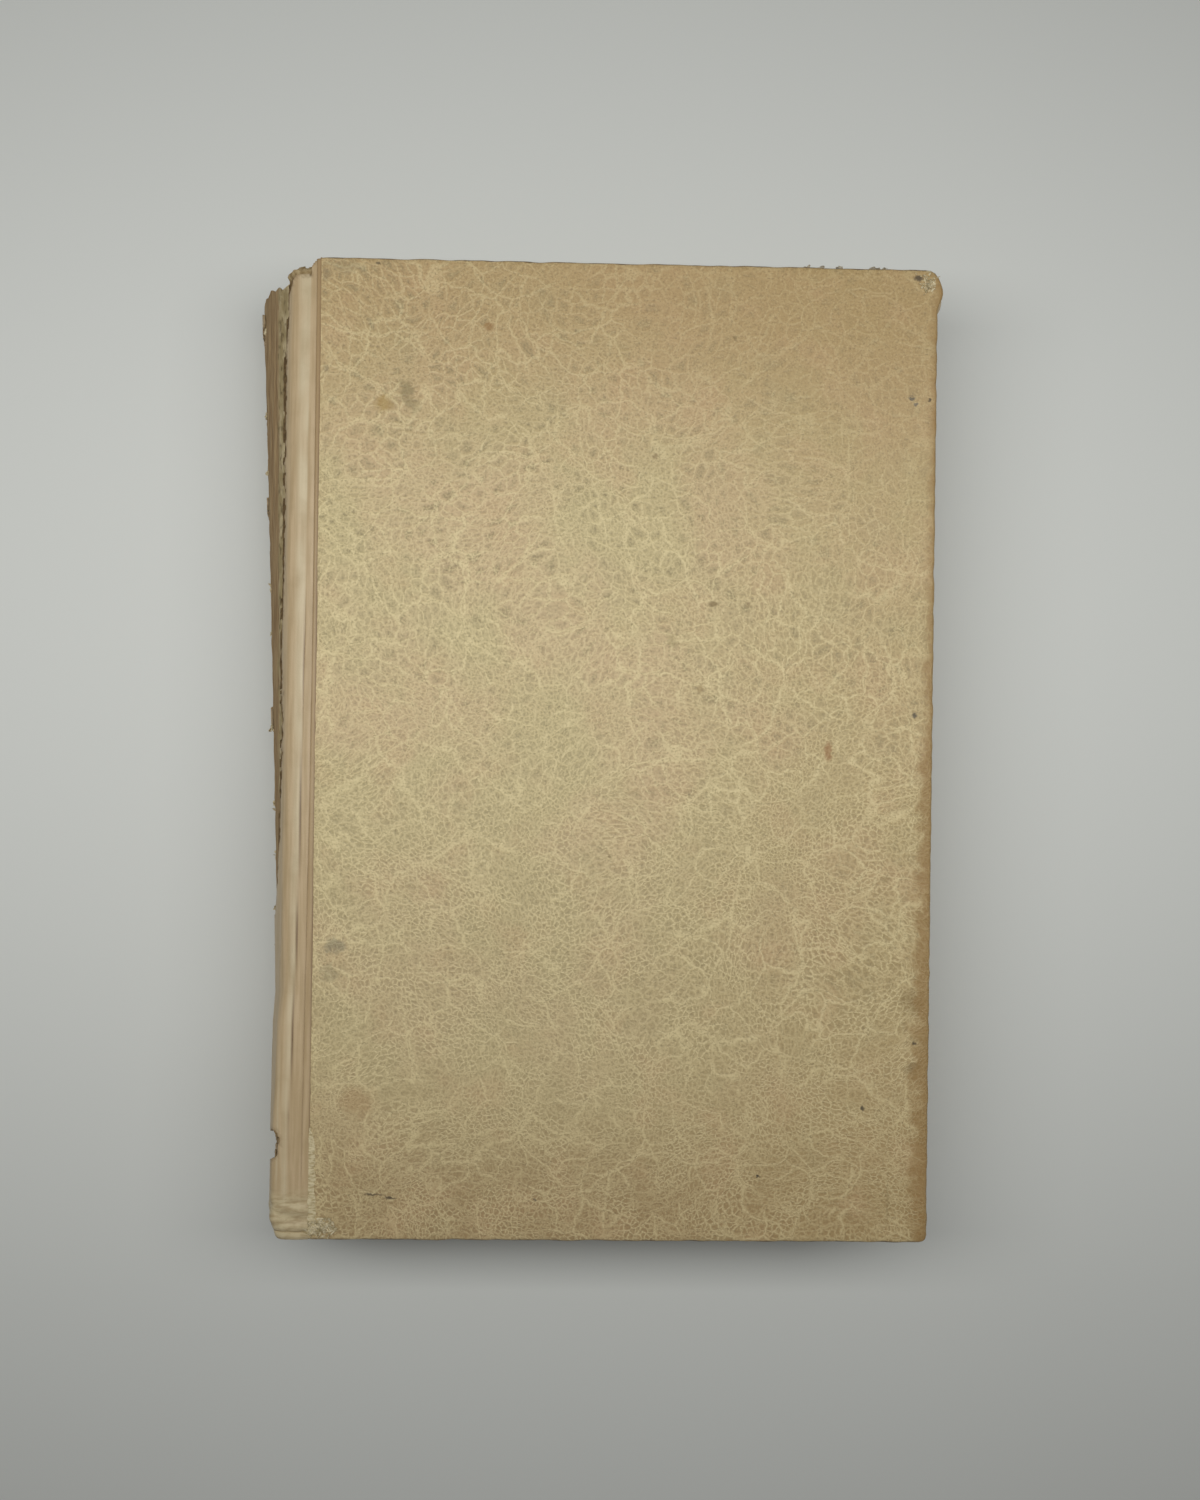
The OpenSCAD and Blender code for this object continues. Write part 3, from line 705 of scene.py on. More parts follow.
def section(u, depth, columns, fine=20, fine_step=0.12):
    """One line round the spine from the front joint to the rear joint, with its shoulders eased."""
    rise = LAYERS_T + np.interp(u, *zip(*RISE)) + SPINE_T - depth
    s = np.linspace(1, 0, 60)
    back = over_back(s, np.full(60, u), np.full(60, rise))
    back[0] += FRONT_SHOULDER * rise
    back[-1] += REAR_SHOULDER * rise
    front_joint = [-0.06, u, BOOK_T - 0.2 - depth]
    rear_joint = [-lean_at(2 * u / BOARD_H) - 0.4, u, 0.15 + depth]
    line = np.vstack([front_joint, back, rear_joint])
    run = np.concatenate([[0], np.cumsum(np.linalg.norm(np.diff(line, axis=0), axis=1))])
    even = np.arange(0, run[-1], DENSE)
    dense = np.stack([np.interp(even, run, line[:, k]) for k in range(3)], axis=1)
    reach = 12
    before, after = 2 * dense[0] - dense[reach:0:-1], 2 * dense[-1] - dense[-2:-reach - 2:-1]
    padded = np.vstack([before, dense, after])
    weights = np.exp(-((np.arange(-reach, reach + 1) * DENSE / EASING) ** 2) / 2)
    weights = weights / weights.sum()
    eased = np.stack([np.convolve(padded[:, k], weights, "valid") for k in range(3)], axis=1)
    near = fine_step * np.arange(fine + 1)
    far = near[-1] + (even[-1] - near[-1]) * np.linspace(0, 1, columns - fine + 1)[1:]
    stops = np.concatenate([near, far])
    return np.stack([np.interp(stops, even, eased[:, k]) for k in range(3)], axis=1), stops


def lay_sections(heights, *shape):
    """Points, stops and outward directions of one section at each height along the book."""
    laid = [section(u, *shape) for u in heights]
    points = np.array([line for line, _ in laid])
    across = np.gradient(points, axis=1)
    out = np.stack([-across[..., 2], 0 * across[..., 0], across[..., 0]], axis=-1)
    out /= np.linalg.norm(out, axis=-1, keepdims=True) + 1e-9
    return points, np.array([stops for _, stops in laid]), -out


stops = section(0.0, 0.0, 110)[1]
print("section round the middle of the spine:", round(stops[-1], 1), "mm long")

# %% [markdown]
# The tear is drawn twice, as a bookbinder would sketch it: once as it shows from above and once as
# it shows from the side of the spine. Paper is gone where it lies in both outlines. The small bite
# near the tail is drawn as the eye above the book sees it.

# %% What is torn away
TORN_FROM_ABOVE = [
    (0.1, HEAD + 1), (0.1, HEAD - 0.5), (-0.8, HEAD - 0.9), (-1.5, HEAD - 1.6), (-1.75, HEAD - 3.8),
    (-3.4, HEAD - 3.7), (-5.0, HEAD - 3.9), (-5.8, HEAD - 4.6),
    (-6.6, HEAD - 7), (-7.1, HEAD - 19), (-7, HEAD - 50),
    (-7.2, HEAD - 66), (-7.5, HEAD - 82), (-6.9, HEAD - 95), (-7.2, HEAD - 109), (-7.5, HEAD - 114),
    (-7.9, HEAD - 122), (-8.4, TAIL + 71), (-9.6, TAIL + 65), (-12, TAIL + 63.5), (-30, TAIL + 59),
    (-30, HEAD + 1)]
TORN_FROM_SIDE = [
    (TAIL, 99), (TAIL, 13.8), (TAIL + 56, 11.8), (TAIL + 71, 9.2), (3, 9.8), (4.8, 15.6), (8, 15.8),
    (9, 10), (30, 8.8), (50, 9.4), (52.6, 13.8), (55.4, 9.6), (75, 8.6), (89.5, 9.8), (91, 15.4),
    (93.4, 15.6), (94.4, 9.2), (HEAD - 3, 8.4), (HEAD - 2.2, -99), (HEAD + 1, -99), (HEAD + 1, 99)]
BITE = [(-30, TAIL + 20.2), (-9.9, TAIL + 20.4), (-8.8, TAIL + 19.9), (-8.2, TAIL + 18.5),
        (-8.0, TAIL + 16.5), (-8.3, TAIL + 14.5), (-9.2, TAIL + 13.3), (-30, TAIL + 12.7)]
EYE = (53.7, -0.2, 266.6)                      # the camera, from the front board's spine edge
BITE_Z, BITE_LOW_Z = 21.5, 12.5                # height that the bite is drawn at, and its lower end


def inside(px, py, outline):
    """Whether each point lies in the outline, by counting the sides to its right."""
    found = np.zeros(np.shape(px), dtype=bool)
    for (ax, ay), (bx, by) in zip(outline, outline[1:] + outline[:1]):
        if ay != by:
            crosses = (ay > py) != (by > py)
            found ^= crosses & (px < (bx - ax) * (py - ay) / (by - ay) + ax)
    return found


bare = inside(np.array(-12.0), np.array(50.0), TORN_FROM_ABOVE)
print("a point on the bare back is torn away:", bool(bare))

# %% [markdown]
# ## Spine paper, lining paper, pages and the hidden layers
# Endpapers, card, grey board and torn fibres are all plain matt sheets. They differ in colour, in
# the size of their clouds and in their fibres, so one function makes them all.

# %% A plain sheet, for several papers and boards
def sheet_finish(name, light, dark, size, rough, fibre_size):
    """A plain sheet whose tone drifts between two colours, with fibres of the given size."""
    finish, node, shader = new_finish(name, rough, 0.2)
    where = node("VectorMath", {0: node("TexCoord", out="Object"), 3: 1 / MM}, operation="SCALE")
    tone = node("TexNoise", {"Vector": where, "Scale": 1 / size, "Detail": 4.0})
    fibre = node("TexNoise", {"Vector": where, "Scale": 1 / fibre_size, "Detail": 3.0})
    drift = node("MapRange", {0: tone, 1: 0.35, 2: 0.7}, **SOFT)
    base = node("Mix", {0: drift, 6: linear(light), 7: linear(dark)}, **COLOURS)
    base = lay_tones(node, base, [((fibre, 0.5, 0.8, 0, 0.25), dark)])
    return dress_surface(finish, shader, base, fibre, 0.3, 0.08)


endpaper = sheet_finish("aged_endpaper", "#cdbf9e", "#bfaf8b", 34, 0.8, 0.5)
inlay_card = sheet_finish("brown_card", "#a58c64", "#8f754e", 6, 0.85, 0.5)
grey_board = sheet_finish("grey_strawboard", "#9a8d74", "#85785f", 3, 0.9, 0.7)
torn_fibre = sheet_finish("torn_paper_fibre", "#cfc3a2", "#93845f", 0.9, 0.9, 0.3)
grey_fleck = sheet_finish("dusty_paper_fleck", "#a39b88", "#7d7361", 0.9, 0.9, 0.3)
print("five plain sheets are ready")

# %% [markdown]
# ### Polished spine paper
# The covering of the spine is the same paper, but shelves and hands have polished its grain away
# and left long streaks. Values kept on the sheet say where its ridge, its cracks and its torn rim
# are, so that the colours follow the shape.

# %% Spine paper finish
def spine_finish():
    """Smoother and a little shinier than the cover, pale on the rubbed ridge with painted highlight, and
    dark brown painted shade in the cracks.
    """
    finish, node, shader = new_finish("polished_spine_paper", 0.45, 0.4)
    where = node("Attribute", out=1, attribute_name="flat")
    torn, ridge, crack, brown = (node("Attribute", out=2, attribute_name=name)
                                 for name in ("torn", "ridge", "crack", "brown"))
    run, up = (node("SeparateXYZ", {0: where}, out=k) for k in (0, 1))
    streaky = node("VectorMath", {0: where, 1: (1, 0.05, 1)}, **TIMES)
    streak = node("TexNoise", {"Vector": streaky, "Scale": 1 / 0.8, "Detail": 3.0})
    light_streak = node("MapRange", {0: streak, 1: 0.35, 2: 0.65}, **SOFT)
    base = node("Mix", {0: light_streak, 6: linear("#aa9470"), 7: linear("#b8a27f")}, **COLOURS)
    # Painted highlight and wear: the ridge faces the light and is rubbed, and it is laid paler for both.
    rubbed_and_lit_ridge = node("Math", {0: ridge, 1: 0.72}, **TIMES)
    base = node("Mix", {0: rubbed_and_lit_ridge, 6: base, 7: linear("#c8bb9b")}, **COLOURS)
    clouds = node("TexNoise", {"Vector": where, "Scale": 1 / 6, "Detail": 4.0})
    # Painted shade: darker further round the back from the joint, where it turns away from the light;
    # then soft clouds of tone.
    base = lay_tones(node, base, [((run, 5.6, 9.0, 0, 0.35), "#a1906e"),
                                  ((clouds, 0.45, 0.75, 0, 0.25), "#94805a")])
    crumpled = node("VectorMath", {0: where, 1: (0.35, 1.3, 1)}, **TIMES)
    crumple = node("TexNoise", {"Vector": crumpled, "Scale": 1 / 1.1, "Detail": 4.0, "Roughness": 0.6})
    crumple = node("MapRange", {0: crumple, 1: 0.35, 2: 0.62}, **SOFT)
    cream = node("Mix", {0: crumple, 6: linear("#9c8a66"), 7: linear("#c0b28d")}, **COLOURS)
    at_tail = node("MapRange", {0: up, 1: -89, 2: -93.5, 3: 0, 4: 0.8}, **SOFT)
    base = node("Mix", {0: at_tail, 6: base, 7: cream}, **COLOURS)
    # Painted shade: the crack values darken the cracks and the crease to dark brown; the brown values
    # are the strip's own colour.
    for mark, strength, tint in ((brown, 0.8, "#927850"), (crack, 0.95, "#4e3725")):
        mark = node("Math", {0: mark, 1: strength}, **TIMES)
        base = node("Mix", {0: mark, 6: base, 7: linear(tint)}, **COLOURS)
    fray = node("TexNoise", {"Vector": where, "Scale": 1 / 1.2, "Detail": 3.0})
    ragged = node("Math", {0: fray, 1: -1.2, 2: torn}, **PLUS)
    base = lay_tones(node, base, [((ragged, -0.7, 0.2, 0.6, 0), "#7d6848")])
    fibre = node("TexNoise", {"Vector": where, "Scale": 1 / 0.4, "Detail": 2.0})
    height = node("Math", {0: streak, 1: 0.6, 2: fibre}, **PLUS)
    return dress_surface(finish, shader, base, height, 0.35, 0.1)


spine_paper = spine_finish()
print(spine_paper.name, "is ready")

# %% [markdown]
# ### Brown lining paper
# The back is lined with brown wrapping paper, made from unbleached pulp and rolled, so its fibres
# lie lengthwise. It shows where the covering is gone. Next to the front joint it is scabbed with
# pale glue and torn plies, with dark specks in them. That side faces up and is also painted lighter,
# and the brown beyond it, where the back turns down, is partly painted shade.

# %% Brown lining finish
def lining_finish():
    """Matt brown paper with lengthwise streaks, scabs of pale glue and dark marks in them. The pale side
    is partly painted light, the brown side partly painted shade.
    """
    finish, node, shader = new_finish("brown_kraft_lining", 0.85, 0.15)
    where = node("Attribute", out=1, attribute_name="flat")
    run = node("SeparateXYZ", {0: where})
    streaky = node("VectorMath", {0: where, 1: (1, 0.06, 1)}, **TIMES)
    streak = node("TexNoise", {"Vector": streaky, "Scale": 1 / 0.7, "Detail": 4.0, "Roughness": 0.65})
    light_streak = node("MapRange", {0: streak, 1: 0.3, 2: 0.7}, **SOFT)
    base = node("Mix", {0: light_streak, 6: linear("#7b6345"), 7: linear("#a18a66")}, **COLOURS)
    patch = node("VectorMath", {0: where, 1: (1, 0.45, 1)}, **TIMES)
    glue = node("TexNoise", {"Vector": patch, "Scale": 1 / 2.4, "Detail": 5.0, "Roughness": 0.6})
    edge = node("Math", {0: glue, 1: 6.0, 2: run}, **PLUS)
    # Pale glue near the joint and brown beyond it: partly real, partly painted light on the upper side
    # and painted shade where the back turns down.
    glue_and_lit_side = node("MapRange", {0: edge, 1: 7.2, 2: 8.4, 3: 1, 4: 0}, **SOFT)
    lump = node("MapRange", {0: glue, 1: 0.4, 2: 0.62}, **SOFT)
    scab = node("Mix", {0: lump, 6: linear("#94845f"), 7: linear("#b8a885")}, **COLOURS)
    base = node("Mix", {0: glue_and_lit_side, 6: base, 7: scab}, **COLOURS)
    blot = node("TexNoise", {"Vector": patch, "Scale": 1 / 1.1, "Detail": 3.0})
    blot = node("MapRange", {0: blot, 1: 0.53, 2: 0.66, 3: 0, 4: 0.65}, **SOFT)
    dark = node("Math", {0: blot, 1: glue_and_lit_side}, **TIMES)
    base = node("Mix", {0: dark, 6: base, 7: linear("#5a4a33")}, **COLOURS)
    height = node("Math", {0: glue, 1: 1.5, 2: streak}, **PLUS)
    return dress_surface(finish, shader, base, height, 0.6, 0.25)


brown_lining = lining_finish()
print(brown_lining.name, "is ready")

# %% [markdown]
# ### Rubbed joint paper
# Where the covering still crosses the joint, folding has rubbed off its coloured face. The bare
# fibres are paler and matt, in short ridges square to the joint.

# %% Rubbed paper at the sound end of the joint
def rubbed_finish():
    """The covering rubbed through its colour: paler, with ridges square to the joint."""
    finish, node, shader = new_finish("rubbed_joint_paper", 0.6, 0.3)
    where = node("Attribute", out=1, attribute_name="flat")
    squeezed = node("VectorMath", {0: where, 1: (0.25, 1, 1)}, **TIMES)
    ridge = node("TexNoise", {"Vector": squeezed, "Scale": 1 / 0.45, "Detail": 3.0, "Roughness": 0.6})
    raised = node("MapRange", {0: ridge, 1: 0.35, 2: 0.6}, **SOFT)
    base = node("Mix", {0: raised, 6: linear("#a3926b"), 7: linear("#cbbe99")}, **COLOURS)
    across = node("SeparateXYZ", {0: where})
    base = lay_tones(node, base, [((across, 1.2, 0.3, 0, 0.8), "#9a8761")])
    return dress_surface(finish, shader, base, ridge, 0.6, 0.2)


rubbed_paper = rubbed_finish()
print(rubbed_paper.name, "is ready")

# %% [markdown]
# ### Torn ply
# Inside, the paper is brown and unsized. Torn open it has no sheen at all, and its fibres stand up.
# Its dark band along the torn rim is painted shadow of the lifted edge of the covering.

# %% Torn ply finish
def ply_and_shadow_finish():
    """Painted shadow of the lifted torn edge as a dark brown band, and pale, fluffy brown ply where it
    is crumpled into the cap at the head.
    """
    finish, node, shader = new_finish("torn_ply_and_painted_shadow", 0.95, 0.1)
    where = node("Attribute", out=1, attribute_name="flat")
    cap = node("Attribute", out=2, attribute_name="cap")
    fluff = node("TexNoise", {"Vector": where, "Scale": 1 / 0.9, "Detail": 4.0, "Roughness": 0.65})
    fluffy = node("MapRange", {0: fluff, 1: 0.35, 2: 0.65}, **SOFT)
    base = node("Mix", {0: fluffy, 6: linear("#54432d"), 7: linear("#776243")}, **COLOURS)
    pale = node("Mix", {0: fluffy, 6: linear("#85714f"), 7: linear("#aa9772")}, **COLOURS)
    base = node("Mix", {0: cap, 6: base, 7: pale}, **COLOURS)
    return dress_surface(finish, shader, base, fluff, 0.7, 0.2)


ply_and_edge_shadow = ply_and_shadow_finish()
print(ply_and_edge_shadow.name, "is ready")

# %% [markdown]
# ### Page edges
# Cut edges of book paper, toned brown by light and dust. Real leaves are 0.1 mm thick, too fine to
# show, so the lines are drawn a little coarser, with broader bands where whole groups of leaves lie
# apart.

# %% Page edges finish
def page_finish():
    """Cut edges of the leaves: fine lines along the book, toned by age and dust."""
    finish, node, shader = new_finish("toned_page_edges", 0.85, 0.15)
    where = node("VectorMath", {0: node("TexCoord", out="Object"), 3: 1 / MM}, operation="SCALE")
    layered = node("VectorMath", {0: where, 1: (0.03, 0.03, 1)}, **TIMES)
    leaf = node("TexNoise", {"Vector": layered, "Scale": 1 / 0.16, "Detail": 2.0, "Roughness": 0.7})
    bundle = node("TexNoise", {"Vector": layered, "Scale": 1 / 1.6, "Detail": 2.0})
    line = node("MapRange", {0: leaf, 1: 0.35, 2: 0.65}, **SOFT)
    base = node("Mix", {0: line, 6: linear("#a08c66"), 7: linear("#cfbf9b")}, **COLOURS)
    foxing = node("TexNoise", {"Vector": where, "Scale": 1 / 7, "Detail": 4.0})
    base = lay_tones(node, base, [((bundle, 0.4, 0.7, 0, 0.45), "#b09a70"),
                                  ((foxing, 0.6, 0.75, 0, 0.35), "#94784c")])
    return dress_surface(finish, shader, base, leaf, 0.5, 0.1)


page_edges = page_finish()
print(page_edges.name, "is ready")

# %% [markdown]
# ### Mull cloth
# Mull is open cotton cloth, woven plain and stiffened with size. Two crossed wave patterns draw its
# threads, about ten to the centimetre. Endpapers, boards and mull keep the shape of their solids,
# because they are flat sheets that hardly show, and are only dressed here.

# %% Mull cloth finish, and dressing the solids that are kept
def cloth_finish():
    """Matt cotton threads with darker gaps between them."""
    # A wave pattern of scale 1 has 20 / (2 pi) bands to the unit, which is a millimetre here.
    finish, node, shader = new_finish("sized_mull_cloth", 0.9, 0.1)
    where = node("VectorMath", {0: node("TexCoord", out="Object"), 3: 1 / MM}, operation="SCALE")
    threads = [node("TexWave", {"Vector": where, "Scale": 0.31, "Distortion": 0.6, "Detail": 1.0}, out=1,
                    wave_type="BANDS", bands_direction=way) for way in "YZ"]
    weave = node("Math", {0: threads[0], 1: threads[1]}, **HIGHER)
    base = node("Mix", {0: weave, 6: linear("#8d7a58"), 7: linear("#c9b78f")}, **COLOURS)
    return dress_surface(finish, shader, base, weave, 0.6, 0.15)


mull_cloth = cloth_finish()
DRESSED = {"front_flyleaf": endpaper, "rear_flyleaf": endpaper, "front_pastedown": endpaper,
           "rear_pastedown": endpaper, "mull": mull_cloth, "front_mull_flap": mull_cloth,
           "rear_mull_flap": mull_cloth, "front_board": grey_board, "rear_board": grey_board}
for name, finish in DRESSED.items():
    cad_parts[name].data.materials.clear()
    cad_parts[name].data.materials.append(finish)
print("dressed", len(DRESSED), "solids")

# %% [markdown]
# ## Covering of the spine
# A sheet is laid round the spine, the torn part is cut out of it, its torn rim is pulled a little
# out of line, and it is given the thickness of the paper. Near the front joint the grid is fine,
# because two cracks run there side by side.

# %% Sections and cracks of the covering
ROWS, COLUMNS = 480, 110
spine_u = np.linspace(TAIL, HEAD, ROWS + 1)
spine_points, spine_stops, spine_out = lay_sections(spine_u, 0.0, COLUMNS)
print("outward at the shoulder:", spine_out[240, 30].round(2))


def crack_run(u):
    """Distance of the second crack from the open joint: it wanders away towards the tail."""
    return np.interp(u, [-88, -72, -52, -15, 30, 91], [1.5, 1.4, 1.33, 0.92, 0.68, 0.76])


def crease_run(u):
    """Distance of the crease beside the rubbed ridge."""
    return np.interp(u, [-90, -75, -52, -30, 0, 25], [4.0, 4.1, 3.55, 3.05, 2.65, 2.3])


# %% [markdown]
# The relief of the covering is a sum of small rises and dips: soft waves, the two cracks, the
# crease with its raised lip, short folds at the tail, and the edge that is rolled in there.

# %% Relief of the covering
def covering_relief(run, u):
    """How far the covering rises or sinks, square to its face, in millimetres."""
    relief = 0.05 * waves(run * 3, u * 0.4, 8, 21) * smooth_step(run, 0.5, 3)
    second_crack = smooth_step(u, TAIL + 12, TAIL + 22)
    relief = relief - 0.34 * second_crack * hump(run, crack_run(u), 0.13)
    relief = relief - 0.3 * smooth_step(u, TAIL + 19, TAIL + 23) * hump(run, 0, 0.17)
    creased = smooth_step(u, 34, 22) * smooth_step(u, -90, -78)
    relief = relief - 0.11 * creased * hump(run, crease_run(u), 0.16)
    relief = relief + 0.06 * creased * hump(run, crease_run(u) + 0.5, 0.35)
    tail_folds = smooth_step(u, TAIL + 11, TAIL + 5)
    relief = relief + 0.14 * tail_folds * waves(run * 0.5, u * 1.6, 3.5, 23)
    relief = relief - 0.6 * hump(u, TAIL + 1.7, 0.3)
    rolled = np.clip((TAIL + 1.5 - u) / 1.5, 0, 1)
    relief = relief - 0.75 * rolled ** 2.2
    drawn_in = np.clip((TAIL + 5 - u) / 5, 0, 1) ** 2
    drawn_in = drawn_in * smooth_step(run, 5, 9) * smooth_step(run, 42, 34)
    return relief - 1.5 * drawn_in


def place_covering(i, j):
    """The covering's own line round the spine, with its relief."""
    relief = covering_relief(spine_stops[j, i], spine_u[j])
    return spine_points[j, i] + spine_out[j, i] * relief[:, None]


spine, i, j = lay_sheet("spine_covering", COLUMNS, ROWS, place_covering)
run, u = spine_stops[j, i], spine_u[j]
keep_value(spine, "flat", np.stack([run, u, 0 * u], axis=1))
print("spine covering laid,", len(u), "points")

# %% [markdown]
# A point is torn away where it lies in both outlines, each made ragged by small waves, or in the
# bite. The way from a point to the torn rim is counted in grid cells and kept on the sheet.

# %% Find the torn part
where = points_of(spine) / MM
wander_x = 0.16 * waves(u, run, 3.1, 31) + 0.1 * waves(u, run, 0.9, 32)
wander_u = 0.5 * waves(u, run, 5.0, 33) + 0.3 * waves(u, run, 1.1, 34)
from_above = inside(where[:, 0] + wander_x, where[:, 1] + 0.3 * wander_u, TORN_FROM_ABOVE)
from_side = inside(where[:, 1] + 0.4 * wander_u, where[:, 2] + wander_u, TORN_FROM_SIDE)
nearer = (EYE[2] - BITE_Z) / (EYE[2] - where[:, 2])
seen_x = EYE[0] + (where[:, 0] - EYE[0]) * nearer
seen_u = EYE[1] + (where[:, 1] - EYE[1]) * nearer
bitten = inside(seen_x + 0.7 * wander_x, seen_u + wander_x, BITE)
bitten &= where[:, 2] + 2 * wander_u > BITE_LOW_Z
gone = (from_above & from_side) | bitten

FAR, CELL = 9.0, 0.42                          # a distance beyond all, and the size of a cell
spread = gone.reshape(ROWS + 1, COLUMNS + 1).copy()
to_rim = np.full(spread.shape, FAR)
for ring in range(6):
    to_rim = np.where(spread & (to_rim == FAR), ring * CELL, to_rim)
    spread[1:] |= spread[:-1].copy()
    spread[:-1] |= spread[1:].copy()
    spread[:, 1:] |= spread[:, :-1].copy()
    spread[:, :-1] |= spread[:, 1:].copy()
keep_value(spine, "torn", to_rim[j, i])
print("torn away:", round(gone.mean() * 100), "% of the covering's points")

# %% [markdown]
# Beside the joint run painted shade along each crack and along the crease, a brown strip between the
# cracks, and a ridge that is rubbed pale and faces the light, so its pale colour is partly painted
# highlight. Each is kept as a value that its finish reads.

# %% Mark the ridge and the cracks
# The ridge and the pale line lower down are rubbed pale and face the light, so their paler colour is
# partly painted highlight.
ridge_right = np.interp(u, [-100, -75, -52, -11, 30, 91], [4.3, 4.3, 3.65, 2.75, 2.3, 1.9])
ridge_left = ridge_right + np.interp(u, [-75, -52, -11, 30, 91], [0.8, 0.9, 1.2, 1.7, 2.0])
ridge = smooth_step(run, ridge_right - 0.15, ridge_right + 0.25)
ridge = ridge * smooth_step(run, ridge_left + 1.2, ridge_left - 0.5)
ridge = ridge * (0.75 + 0.25 * waves(u, run * 3, 12, 35)).clip(0, 1)
pale_line = 0.7 * hump(run, 6.6, 0.25) * smooth_step(u, -58, -68) * smooth_step(u, -92, -86)
keep_value(spine, "ridge", np.maximum(ridge, pale_line))
# The dark lines along the cracks and the crease are painted shade.
second_crack_shade = hump(run, crack_run(u), 0.17) * smooth_step(u, TAIL + 10, TAIL + 20)
joint_crack_shade = 0.9 * hump(run, 0, 0.18) * smooth_step(u, TAIL + 18, TAIL + 23)
joint_crack_shade = joint_crack_shade * (1 - 0.45 * smooth_step(u, 55, 80))
crease_shade = 0.8 * hump(run, crease_run(u), 0.15) * smooth_step(u, 34, 20) * smooth_step(u, -92, -80)
keep_value(spine, "crack", np.maximum(np.maximum(second_crack_shade, joint_crack_shade), crease_shade))
brown = smooth_step(run, crack_run(u) + 0.1, crack_run(u))
keep_value(spine, "brown", brown * np.interp(u, [-75, -40, 60], [0.1, 0.45, 1.0]))
cut_away(spine, gone)
print("after tearing,", len(spine.data.vertices), "points are left")

# %% [markdown]
# Cutting along grid cells leaves small steps. The open rim is selected as the edges that aren't
# shared by two faces, and smoothed, before the sheet gets its thickness.

# %% Fray the torn rim and give the paper its thickness
bpy.ops.object.mode_set(mode="EDIT")
bpy.ops.mesh.select_all(action="DESELECT")
bpy.ops.mesh.select_non_manifold()
bpy.ops.mesh.vertices_smooth(factor=0.5, repeat=2)
bpy.ops.object.mode_set(mode="OBJECT")
give_thickness(spine, 0.36, MIDDLE_X)
finish_piece(spine, "block", spine_paper, ["spine_cover"])

# %% [markdown]
# ## Torn ply under the covering
# Paper tears in layers. Past the torn edge of the cream covering a dark band stands out, laid as a
# brown under-ply: it is painted shadow of that lifted edge. At the head it is left as a crumpled cap
# of brown ply. It is a narrow band of the same laid sheet, one paper lower, with an outline that
# reaches a little further.

# %% Lay and tear the ply
PLY_ROWS, PLY_COLUMNS = 420, 46
ply_u = np.linspace(TAIL + 60, HEAD - 1.7, PLY_ROWS + 1)
ply_points, ply_stops, ply_out = lay_sections(ply_u, 0.3, PLY_COLUMNS, 12, 0.3)


def place_ply(i, j):
    """One paper lower than the covering, and crumpled into a cap at the head."""
    run, u = ply_stops[j, i], ply_u[j]
    cap = smooth_step(u, HEAD - 3.8, HEAD - 3.0)
    crumple = 0.3 + 0.35 * waves(run, u, 2.2, 61) + 0.2 * waves(run, u, 0.9, 62)
    crumple = cap * np.maximum(crumple, 0.26)
    curl = 0.06 * waves(run * 0.3, u, 4, 63)
    tucked = 0.9 * cap * smooth_step(u, HEAD - 2.6, HEAD - 1.7)
    return ply_points[j, i] + ply_out[j, i] * (crumple + curl - tucked)[:, None]


ply, i, j = lay_sheet("torn_ply_and_painted_shadow", PLY_COLUMNS, PLY_ROWS, place_ply)
run, u = ply_stops[j, i], ply_u[j]
where = ply_points[j, i]
wander = 0.1 * waves(u, run, 2.3, 64) + 0.05 * waves(u, run, 0.8, 65)
lifted = np.where(u > HEAD - 8, np.maximum(u - 1.8, HEAD - 9), u)
beyond = inside(where[:, 0] + 0.72 + wander, lifted + 2 * wander, TORN_FROM_ABOVE)
beneath = ~inside(where[:, 0] - 2.2, np.minimum(u + 2.0, HEAD), TORN_FROM_ABOVE)
keep_value(ply, "flat", np.stack([run, u, 0 * u], axis=1))
keep_value(ply, "cap", smooth_step(u, HEAD - 4.4, HEAD - 3.0))
cut_away(ply, beyond | beneath | (run < 1.2))
give_thickness(ply, 0.2, MIDDLE_X)
finish_piece(ply, "block", ply_and_edge_shadow)

# %% [markdown]
# ## Lining of the back
# The brown paper lining follows the back closely. It is laid in the same way, with lengthwise
# wrinkles, because brown paper shrinks across its grain, and with scabs of glue near the torn edge.

# %% Lay the lining
LINING_ROWS, LINING_COLUMNS, ROUND = 320, 84, 27    # round the back it is about 27 mm wide
lining_u = np.linspace(-PAGE_H / 2 + 0.8, PAGE_H / 2 - 0.8, LINING_ROWS + 1)
lining_s = np.linspace(1, 0, LINING_COLUMNS + 1)


def place_lining(i, j):
    """Close on the back, with a ragged upper end and lengthwise wrinkles."""
    s, u = lining_s[i], lining_u[j]
    run = (1 - s) * ROUND
    ragged = 2.3 * smooth_step(s, 0.95, 0.6) + 0.35 * waves(s * ROUND, s * 0, 3, 43)
    u = u + smooth_step(u, 80, 96.4) * ragged
    wrinkle = 0.06 * waves(run * 2.2, u * 0.12, 4, 41) + 0.05 * waves(run, u * 0.5, 2.6, 42)
    return over_back(s, u, LAYERS_T + wrinkle)


lining, i, j = lay_sheet("brown_back_lining", LINING_COLUMNS, LINING_ROWS, place_lining)
run, u = (1 - lining_s[i]) * ROUND, lining_u[j]
keep_value(lining, "flat", np.stack([run, u, 0 * u], axis=1))
give_thickness(lining, 0.3, MIDDLE_X)
finish_piece(lining, "block", brown_lining, ["spine_lining"])

